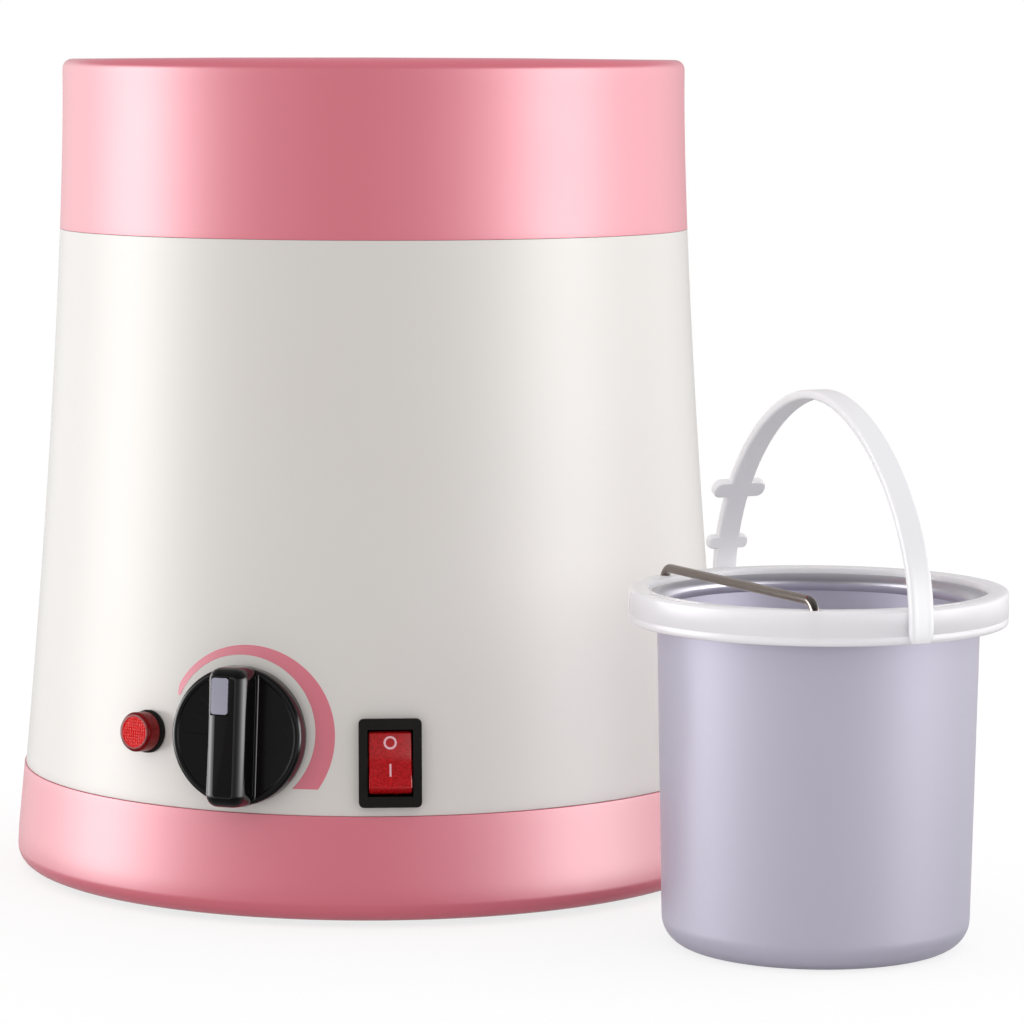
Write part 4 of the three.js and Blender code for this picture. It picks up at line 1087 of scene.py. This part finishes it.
def make_lamp_body():
    """Barrel through the wall with a flange outside"""
    top = SEAT_GAP + LAMP_FLANGE_HEIGHT
    bottom = SEAT_GAP * 2 - LAMP_BARREL_LENGTH
    bore_bottom = -LAMP_BARREL_LENGTH / 2
    outline = rounded([
        (0, bottom),
        (LAMP_BARREL_RADIUS, bottom),
        (LAMP_BARREL_RADIUS, SEAT_GAP),
        (LAMP_FLANGE_RADIUS, SEAT_GAP),
        (LAMP_FLANGE_RADIUS, top, LAMP_FLANGE_HEIGHT / 2),
        (LAMP_BORE, top),
        (LAMP_BORE, bore_bottom),
        (0, bore_bottom),
    ])
    bezel = lathe("lamp_bezel", outline, LAMP_PLACE, SMALL_STEPS)
    dress(bezel, "black_plastic", "heater", "lamp_body")


def ridge(value, pitch):
    """A row of even ridges, 0 in the valleys and 1 on the crests"""
    phase = (value / pitch) % 1
    return 1 - abs(2 * phase - 1)


def make_lens():
    """Red lens: round side, eased edge and a face cut into small pyramids"""
    bottom = SEAT_GAP * 2 + LAMP_FLANGE_HEIGHT
    top = bottom + LENS_PROUD
    stem = LAMP_BORE - SEAT_GAP
    side = rounded([
        (0, bottom - LENS_STEM),
        (stem, bottom - LENS_STEM),
        (stem, bottom),
        (LENS_RADIUS, bottom),
        (LENS_RADIUS, top, LENS_EDGE),
        (LENS_FACE_RADIUS, top),
    ])
    rings = round(LENS_FACE_RADIUS / LENS_FACE_STEP)
    radii = [LENS_FACE_RADIUS * (1 - i / rings) for i in range(1, rings + 1)]
    lens = lathe("lamp_cap", side + [(radius, top - LENS_GRID_HEIGHT) for radius in radii])
    for vertex in lens.data.vertices:
        x, y, z = vertex.co
        if z > bottom + LENS_PROUD / 2 and hypot(x, y) < LENS_FACE_RADIUS - LENS_FACE_STEP:
            vertex.co.z = z + LENS_GRID_HEIGHT * ridge(x, LENS_GRID_PITCH) * ridge(y, LENS_GRID_PITCH)
    lens.data.transform(LAMP_PLACE)
    lens.data.set_sharp_from_angle(angle=CREASE)
    # The lens body gets the red painted darker as painted shade, and its face gets the brighter red below
    dress(lens, "red_lens", "heater", "lamp_lens", finish="lamp_side_painted_shade")
    to_lamp = LAMP_PLACE.inverted()

    def is_front(face):
        x, y, z = to_lamp @ face.center
        return z > top - LENS_EDGE / 2 and hypot(x, y) < LENS_FACE_RADIUS

    refinish(lens, "lamp_face", is_front)


def ease_switch_frame():
    """The switch's CAD frame is right: it only gets small eased edges"""
    ease_edges(frame["nodes"]["switch_frame"], SEAT_GAP, FRAME_EASE_STEPS, FRAME_EASE_FROM)


def make_rocker():
    """Red rocker: two shallow faces that meet in a soft dish, round ends and trunnions"""
    right = arc((0, 0), ROCKER_RADIUS, ROCKER_FOOT_ANGLE, ROCKER_TOP_ANGLE, FILLET_STEPS * 2)
    left = [(-x, y) for x, y in reversed(right)]
    outline = rounded([
        *right[:-1],
        (*right[-1], ROCKER_BROW_ROUND),
        (0, right[-1][1] - ROCKER_DISH, ROCKER_DISH_ROUND),
        (*left[0], ROCKER_BROW_ROUND),
        *left[1:],
    ])
    turned = Matrix(((0, 0, 1), (1, 0, 0), (0, 1, 0))).to_4x4()
    rocker = pushed("rocker_cap", outline, -ROCKER_WIDTH / 2, ROCKER_WIDTH / 2, turned)
    ease_edges(rocker, BORDER_ROUND, ROCKER_EASE_STEPS, ROCKER_EASE_FROM)
    settle(rocker)
    reach = ROCKER_WIDTH / 2 + TRUNNION_REACH
    join(rocker, rod(TRUNNION_RADIUS, -reach, reach, LYING_ACROSS))
    rocker.data.transform(ROCKER_PLACE)
    dress(rocker, "red_lens", "rocker", "rocker")


def rocker_face(along):
    """Height of the rocker's face this far along it, in its own frame"""
    brow = ROCKER_RADIUS * sin(ROCKER_TOP_ANGLE)
    slope = atan2(ROCKER_DISH, ROCKER_RADIUS * cos(ROCKER_TOP_ANGLE))
    rise = abs(along) * tan(slope)
    if abs(along) < ROCKER_DISH_ROUND * sin(slope):
        rise = ROCKER_DISH_ROUND / cos(slope) - sqrt(ROCKER_DISH_ROUND ** 2 - along ** 2)
    return brow - ROCKER_DISH + rise


def make_off_mark():
    """Ring printed at the rocker's upper end"""
    shape = bmesh.new()
    low, high = -MARK_FILM, MARK_FILM
    outer, inner = RING_MARK_RADIUS, RING_MARK_BORE
    rows = []
    for radius, film in ((outer, low), (outer, high), (inner, high), (inner, low)):
        circle = arc((0, RING_MARK_PLACE), radius, 0, 2 * pi, MARK_STEPS)[:-1]
        rows.append([shape.verts.new((x, y, rocker_face(y) + film)) for x, y in circle])
    join_rings(shape, rows, rows[1:] + rows[:1])
    dress(solid("off_mark", shape, ROCKER_PLACE), "white_plastic", "rocker", finish="mark_paint")


def make_on_mark():
    """Bar printed at the rocker's lower end"""
    x = BAR_MARK_WIDTH / 2
    loops = []
    for i in range(BAR_MARK_STEPS + 1):
        y = BAR_MARK_PLACE + BAR_MARK_LENGTH * (i / BAR_MARK_STEPS - 1 / 2)
        low, high = rocker_face(y) - MARK_FILM, rocker_face(y) + MARK_FILM
        loops.append([(-x, y, low), (x, y, low), (x, y, high), (-x, y, high)])
    dress(loft("on_mark", loops, ROCKER_PLACE), "white_plastic", "rocker", finish="mark_paint")


def make_gland():
    """Plain black bush that the cord leaves by"""
    top = SEAT_GAP + GLAND_FLANGE_HEIGHT
    outline = rounded([
        (GLAND_BORE, -GLAND_BARREL_LENGTH),
        (GLAND_BARREL_RADIUS, -GLAND_BARREL_LENGTH),
        (GLAND_BARREL_RADIUS, SEAT_GAP),
        (GLAND_FLANGE_RADIUS, SEAT_GAP),
        (GLAND_FLANGE_RADIUS, top - GLAND_FLANGE_HEIGHT / 2, BORDER_ROUND),
        (GLAND_BARREL_RADIUS, top, BORDER_ROUND),
        (GLAND_BORE, top, BORDER_ROUND),
    ])
    dress(lathe("cord_bush", outline, GLAND_PLACE, SMALL_STEPS), "black_plastic", "heater", "cord_gland")


def make_pot():
    """Drawn aluminium pot with a thick rolled lip"""
    middle = (POT_TOP_RADIUS + LIP_OFFSET, POT_HEIGHT - LIP_DROP)

    def meeting(radius):
        return acos((radius - middle[0]) / LIP_BEAD)

    end = 2 * pi - meeting(POT_TOP_RADIUS - POT_WALL)
    bead = arc(middle, LIP_BEAD, -meeting(POT_TOP_RADIUS), end, FILLET_STEPS * 5)
    outline = rounded([
        (0, 0),
        (POT_FOOT_RADIUS, 0, POT_CORNER),
        *bead,
        (POT_FOOT_RADIUS - POT_WALL, POT_WALL, POT_CORNER - POT_WALL),
        (0, POT_WALL),
    ], FILLET_STEPS * 2)
    pot = dress(lathe("wax_pot", outline, POT), "pot_aluminium", "pot", "pot")
    refinish(pot, "lip_aluminium", lambda face: face.center.z > middle[1])


def arc_slot(azimuth):
    """Cutter for a shallow round-ended slot that follows the ring's top face"""
    middle = (RING_SLOT_INNER + RING_SLOT_OUTER) / 2
    start, end = azimuth - RING_SLOT_SPAN / 2, azimuth + RING_SLOT_SPAN / 2
    outline = []
    for radius, first, last in ((RING_SLOT_OUTER, start, end), (RING_SLOT_INNER, end, start)):
        outline += arc((0, 0), radius, first, last, SLOT_STEPS)
        tip = (middle * cos(last), middle * sin(last))
        turn = last if last > first else last + pi
        outline += arc(tip, RING_SLOT_OUTER - middle, turn, turn + pi, FILLET_STEPS)[1:-1]
    return pushed("slot", outline, POT_HEIGHT - RING_SLOT_DEPTH, POT_HEIGHT + OVERRUN, POT)


def make_ring():
    """Clear-white plastic ring that grips the pot's lip"""
    bore = POT_TOP_RADIUS + RUNNING_GAP
    floor = RING_BOTTOM + RING_FLOOR
    groove = RING_BOTTOM + RING_BAND / 4
    outline = rounded([
        (bore, RING_BOTTOM),
        (RING_RADIUS, RING_BOTTOM, RING_ROUND),
        (RING_RADIUS, groove - RING_GROOVE),
        (RING_RADIUS - RING_GROOVE / 2, groove),
        (RING_RADIUS, groove + RING_GROOVE),
        (RING_RADIUS, POT_HEIGHT, RING_ROUND),
        (RING_MOUTH, POT_HEIGHT, BORDER_ROUND),
        (RING_MOUTH, POT_HEIGHT - RING_TOP_WALL),
        (RING_RADIUS - RING_WALL, POT_HEIGHT - RING_TOP_WALL),
        (RING_RADIUS - RING_WALL, floor),
        (bore, floor),
    ])
    ring = lathe("pot_collar", outline, POT)
    across = HANDLE_PLACE @ shift(0, 0, PIVOT_HEIGHT) @ LYING_ACROSS
    for side in (1, -1):
        reach = sorted((side * (RING_RADIUS - RING_WALL * 2), side * RING_RADIUS * 2))
        carve(ring, rod(STUD_RADIUS + SEAT_GAP, *reach, across))
        foot = HANDLE_PLACE @ shift(side * WIRE_END, -WIRE_OFFSET, 0)
        carve(ring, rod(WIRE_RADIUS + SEAT_GAP, floor, POT_HEIGHT + OVERRUN, foot))
    carve(ring, *(arc_slot(azimuth) for azimuth in RING_SLOT_AZIMUTHS))
    dress(ring, "frosted_plastic", "pot", "pot_ring")


def mirrored(path):
    """The left half of a path in the XZ plane, from its right half"""
    return [Vector((-point.x, 0, point.z)) for point in reversed(path)]


def make_wire():
    """Nickelled scraper bar with both ends bent down into the ring"""
    foot = (WIRE_END, RING_BOTTOM + RING_FLOOR + SEAT_GAP)
    corner = (WIRE_END - WIRE_BEND, POT_HEIGHT + WIRE_HEIGHT - WIRE_BEND)
    bend = arc(corner, WIRE_BEND, 0, pi / 2, FILLET_STEPS * 2)
    right = [Vector((x, 0, z)) for x, z in (foot, *bend)]
    circle = arc((0, 0), WIRE_RADIUS, 0, 2 * pi, WIRE_SIDES)[:-1]
    place = HANDLE_PLACE @ shift(0, -WIRE_OFFSET, 0)
    wire = sweep("scraper_bar", right + mirrored(right), lambda point: circle, place)
    dress(wire, "nickel_wire", "pot", "scraper_wire")


def arch_point(share):
    """A point of the quarter arch, from the pivot at 0 to the apex at 1, above the pivot"""
    low, high = (1 - share), share
    x = HANDLE_SPAN * (low ** 3 + 3 * low ** 2 * high + 3 * low * high ** 2 * ARCH_TOP_SHARE)
    z = HANDLE_RISE * (3 * low ** 2 * high * ARCH_RISE_SHARE + 3 * low * high ** 2 + high ** 3)
    return Vector((x, 0, z))


def quarter_arch():
    return [arch_point(i / ARCH_STEPS) for i in range(ARCH_STEPS + 1)]


def strap_section(point):
    """The strap's outline here: eased edges, a shallow channel outside, drawn in at the feet"""
    foot_share = min(1, max(0, -point.z / HANDLE_FOOT))
    inset = HANDLE_EASE * (1 - sqrt(1 - foot_share ** 2))
    fade = max(0, 1 - max(0, point.z) / HANDLE_RISE / HANDLE_CHANNEL_END)
    channel = HANDLE_CHANNEL * (fade + HANDLE_CHANNEL_LEAST)
    x, y = HANDLE_WIDTH / 2 - inset, HANDLE_THICKNESS / 2 - inset / 2
    rib = max(x - HANDLE_RIB, HANDLE_RIB)
    right = [
        (x, -y, HANDLE_EASE),
        (x, y, HANDLE_EASE),
        (rib, y, HANDLE_EASE),
        (rib - HANDLE_EASE, y - channel, HANDLE_EASE / 2),
    ]
    return rounded(right + [(-x, y, fillet) for x, y, fillet in reversed(right)], STRAP_STEPS)


def wing_frame(height):
    """Where a pair of wings lies along the strap's rear leg at this height"""
    points = quarter_arch()
    after = next(i for i, point in enumerate(points) if point.z >= height)
    first, second = points[after - 1], points[after]
    place = first.lerp(second, (height - first.z) / (second.z - first.z))
    along = Vector((first.x - second.x, 0, second.z - first.z)).normalized()
    return shift(-place.x, 0, place.z) @ axes(along, ALONG_Y, along.cross(ALONG_Y))


def make_handle():
    """White bail: strap, studs into the ring and two pairs of wings on its rear leg"""
    drops = [HANDLE_FOOT * (1 - i / FILLET_STEPS) for i in range(FILLET_STEPS)]
    right = [Vector((HANDLE_SPAN, 0, -drop)) for drop in drops] + quarter_arch()
    bail = sweep("bail", right + mirrored(right[:-1]), strap_section)
    for side in (1, -1):
        reach = sorted((side * (RING_RADIUS - RING_WALL), side * HANDLE_SPAN))
        join(bail, rod(STUD_RADIUS, *reach, LYING_ACROSS))
    plate = HANDLE_THICKNESS / 2
    for wing in (UPPER_WING, LOWER_WING):
        join(bail, slab("wing", wing["depth"], wing["span"], wing["corner"], -plate, plate,
                        (WING_EASE, WING_EASE), wing_frame(wing["height"])))
    bail.data.transform(HANDLE_PLACE @ shift(0, 0, PIVOT_HEIGHT))
    # The handle's finish is the white painted brighter, as painted light for the light on the pot
    dress(bail, "white_plastic", "handle", "handle", finish="bail_white_painted_light")


# Stage
def hide_in_reflections(*names):
    """The heater was lit apart from its pot, so its gloss doesn't mirror the pot"""
    for name in names:
        bpy.data.objects[name].visible_glossy = False


def make_camera():
    level_right = sideways(CAMERA_AZIMUTH)
    back = outward(CAMERA_AZIMUTH) * cos(CAMERA_PITCH) + UP * sin(CAMERA_PITCH)
    right = level_right * cos(CAMERA_ROLL) + back.cross(level_right) * sin(CAMERA_ROLL)
    target = HEATER.translation + level_right * CAMERA_ASIDE + UP * CAMERA_HEIGHT
    camera = bpy.data.objects.new("camera", bpy.data.cameras.new("camera"))
    camera.data.lens = CAMERA_LENS
    camera.data.clip_start, camera.data.clip_end = CAMERA_CLIP
    place = Matrix.Translation(target + back * CAMERA_DISTANCE)
    camera.matrix_world = place @ axes(right, back.cross(right), back)
    bpy.context.scene.collection.objects.link(camera)
    bpy.context.scene.camera = camera


def softbox(name, subject, from_camera, distance, height, width, tall, watts):
    """A soft lamp this many degrees round from the camera, facing its subject"""
    lamp = bpy.data.objects.new(name, bpy.data.lights.new(name, "AREA"))
    lamp.data.shape = "RECTANGLE"
    lamp.data.size = width
    lamp.data.size_y = tall
    lamp.data.energy = watts
    spot = outward(CAMERA_AZIMUTH + radians(from_camera)) * distance + UP * height
    lamp.location = subject.translation + spot
    lamp.rotation_mode = "QUATERNION"
    lamp.rotation_quaternion = (spot - UP * height / 2).to_track_quat("Z", "Y")
    lamp.visible_camera = False
    lamp.visible_glossy = False
    bpy.context.scene.collection.objects.link(lamp)
    return lamp


def choose_receivers(lamp, state, *names):
    """Gives a lamp's light only to these pieces (INCLUDE), or keeps it off them (EXCLUDE)"""
    group = bpy.data.collections.new(f"{lamp.name}_receivers")
    for name in names:
        group.objects.link(bpy.data.objects[name])
    for item in group.collection_objects:
        item.light_linking.link_state = state
    lamp.light_linking.receiver_collection = group


def make_lights():
    softbox("left_softbox", HEATER, *LEFT_SOFTBOX)
    choose_receivers(softbox("right_softbox", HEATER, *RIGHT_SOFTBOX), "EXCLUDE", "wax_pot")
    pot_lamp = softbox("pot_softbox", POT, *POT_SOFTBOX)
    choose_receivers(pot_lamp, "INCLUDE", "wax_pot", "pot_collar", "bail")


def studio_reflection(tree, direction):
    """Brightness that a reflection finds in this direction: soft glows left and right of the camera"""
    def calc(operation, *values):
        return math_node(tree, operation, *values)

    def bell(distance, reach, power):
        """1 at no distance, and next to nothing well past the reach"""
        share = calc("ABSOLUTE", calc("DIVIDE", distance, reach))
        return calc("EXPONENT", calc("MULTIPLY", calc("POWER", share, power), -1))

    turned = add_node(tree, "Mapping", Rotation=(0, 0, -CAMERA_AZIMUTH), Vector=direction)
    turned.vector_type = "VECTOR"
    x, y, z = add_node(tree, "SeparateXYZ", Vector=turned.outputs["Vector"]).outputs
    angle = calc("ARCTAN2", x, calc("MULTIPLY", y, -1))
    back_share = calc("DIVIDE", calc("ADD", y, 1), 2)
    level = calc("ADD", calc("MULTIPLY", back_share, STUDIO_BACK - STUDIO_FRONT), STUDIO_FRONT)
    above = calc("SUBTRACT", calc("ARCSINE", z), GLOW_ELEVATION)
    near_horizon = bell(above, GLOW_TALL, GLOW_TALL_POWER)
    for degrees, spread, peak in STUDIO_GLOWS:
        away = calc("SUBTRACT", angle, radians(degrees))
        glow = calc("MULTIPLY", bell(away, radians(spread), GLOW_POWER), peak)
        level = calc("ADD", level, calc("MULTIPLY", glow, near_horizon))
    return level


def make_world():
    """White for the camera, a plain soft level for lighting, and the studio's glows in reflections"""
    world = bpy.data.worlds.new("studio")
    bpy.context.scene.world = world
    world.use_nodes = True
    tree = world.node_tree
    rays = add_node(tree, "LightPath").outputs
    shiny = math_node(tree, "MAXIMUM", rays["Is Glossy Ray"], rays["Is Transmission Ray"])
    reflected = studio_reflection(tree, add_node(tree, "TexCoord").outputs["Generated"])
    unseen = mixed(tree, shiny, grey(ROOM_LEVEL), reflected)
    level = mixed(tree, rays["Is Camera Ray"], unseen, grey(1.0))
    feed_all(tree, tree.nodes["Background"], {"Color": level, "Strength": 1.0})


def floor_finish():
    """Lit as a pale floor, and lifted to white for the camera alone"""
    made = bpy.data.materials.new("floor")
    made.use_nodes = True
    shade(made, Base_Color=grey(FLOOR_TINT), Roughness=1.0, Specular_IOR_Level=0.0)
    tree = made.node_tree
    level = (1 - (1 - FLOOR_GLOW_SHARE) * FLOOR_TINT * ROOM_LEVEL) / FLOOR_GLOW_SHARE
    glow = add_node(tree, "Emission", Color=grey(level))
    camera_ray = add_node(tree, "LightPath").outputs["Is Camera Ray"]
    mix = add_node(tree, "MixShader", Fac=math_node(tree, "MULTIPLY", camera_ray, FLOOR_GLOW_SHARE))
    tree.links.new(tree.nodes["Principled BSDF"].outputs["BSDF"], mix.inputs[1])
    tree.links.new(glow.outputs["Emission"], mix.inputs[2])
    tree.links.new(mix.outputs["Shader"], tree.nodes["Material Output"].inputs["Surface"])
    return made


def make_floor():
    """Pale floor that takes the object's shadow; reflections pass it to the studio"""
    reach = FLOOR_SIZE / 2
    corners = [(-reach, -reach, 0), (reach, -reach, 0), (reach, reach, 0), (-reach, reach, 0)]
    mesh = bpy.data.meshes.new("floor")
    mesh.from_pydata(corners, [], [(0, 1, 2, 3)])
    mesh.materials.append(floor_finish())
    floor = bpy.data.objects.new("floor", mesh)
    bpy.context.scene.collection.objects.link(floor)
    floor.visible_glossy = False
    floor.visible_transmission = False


make_camera()
dress_frame()
make_lid()
make_body()
make_base()
make_deck()
make_well()
make_feet()
make_knob()
make_pointer()
make_scale()
make_lamp_body()
make_lens()
ease_switch_frame()
make_rocker()
make_off_mark()
make_on_mark()
make_gland()
make_pot()
make_ring()
make_wire()
make_handle()
hide_in_reflections("wax_pot", "pot_collar", "scraper_bar", "bail")
make_floor()
make_world()
make_lights()
bpy.context.scene.view_settings.view_transform = "Standard"
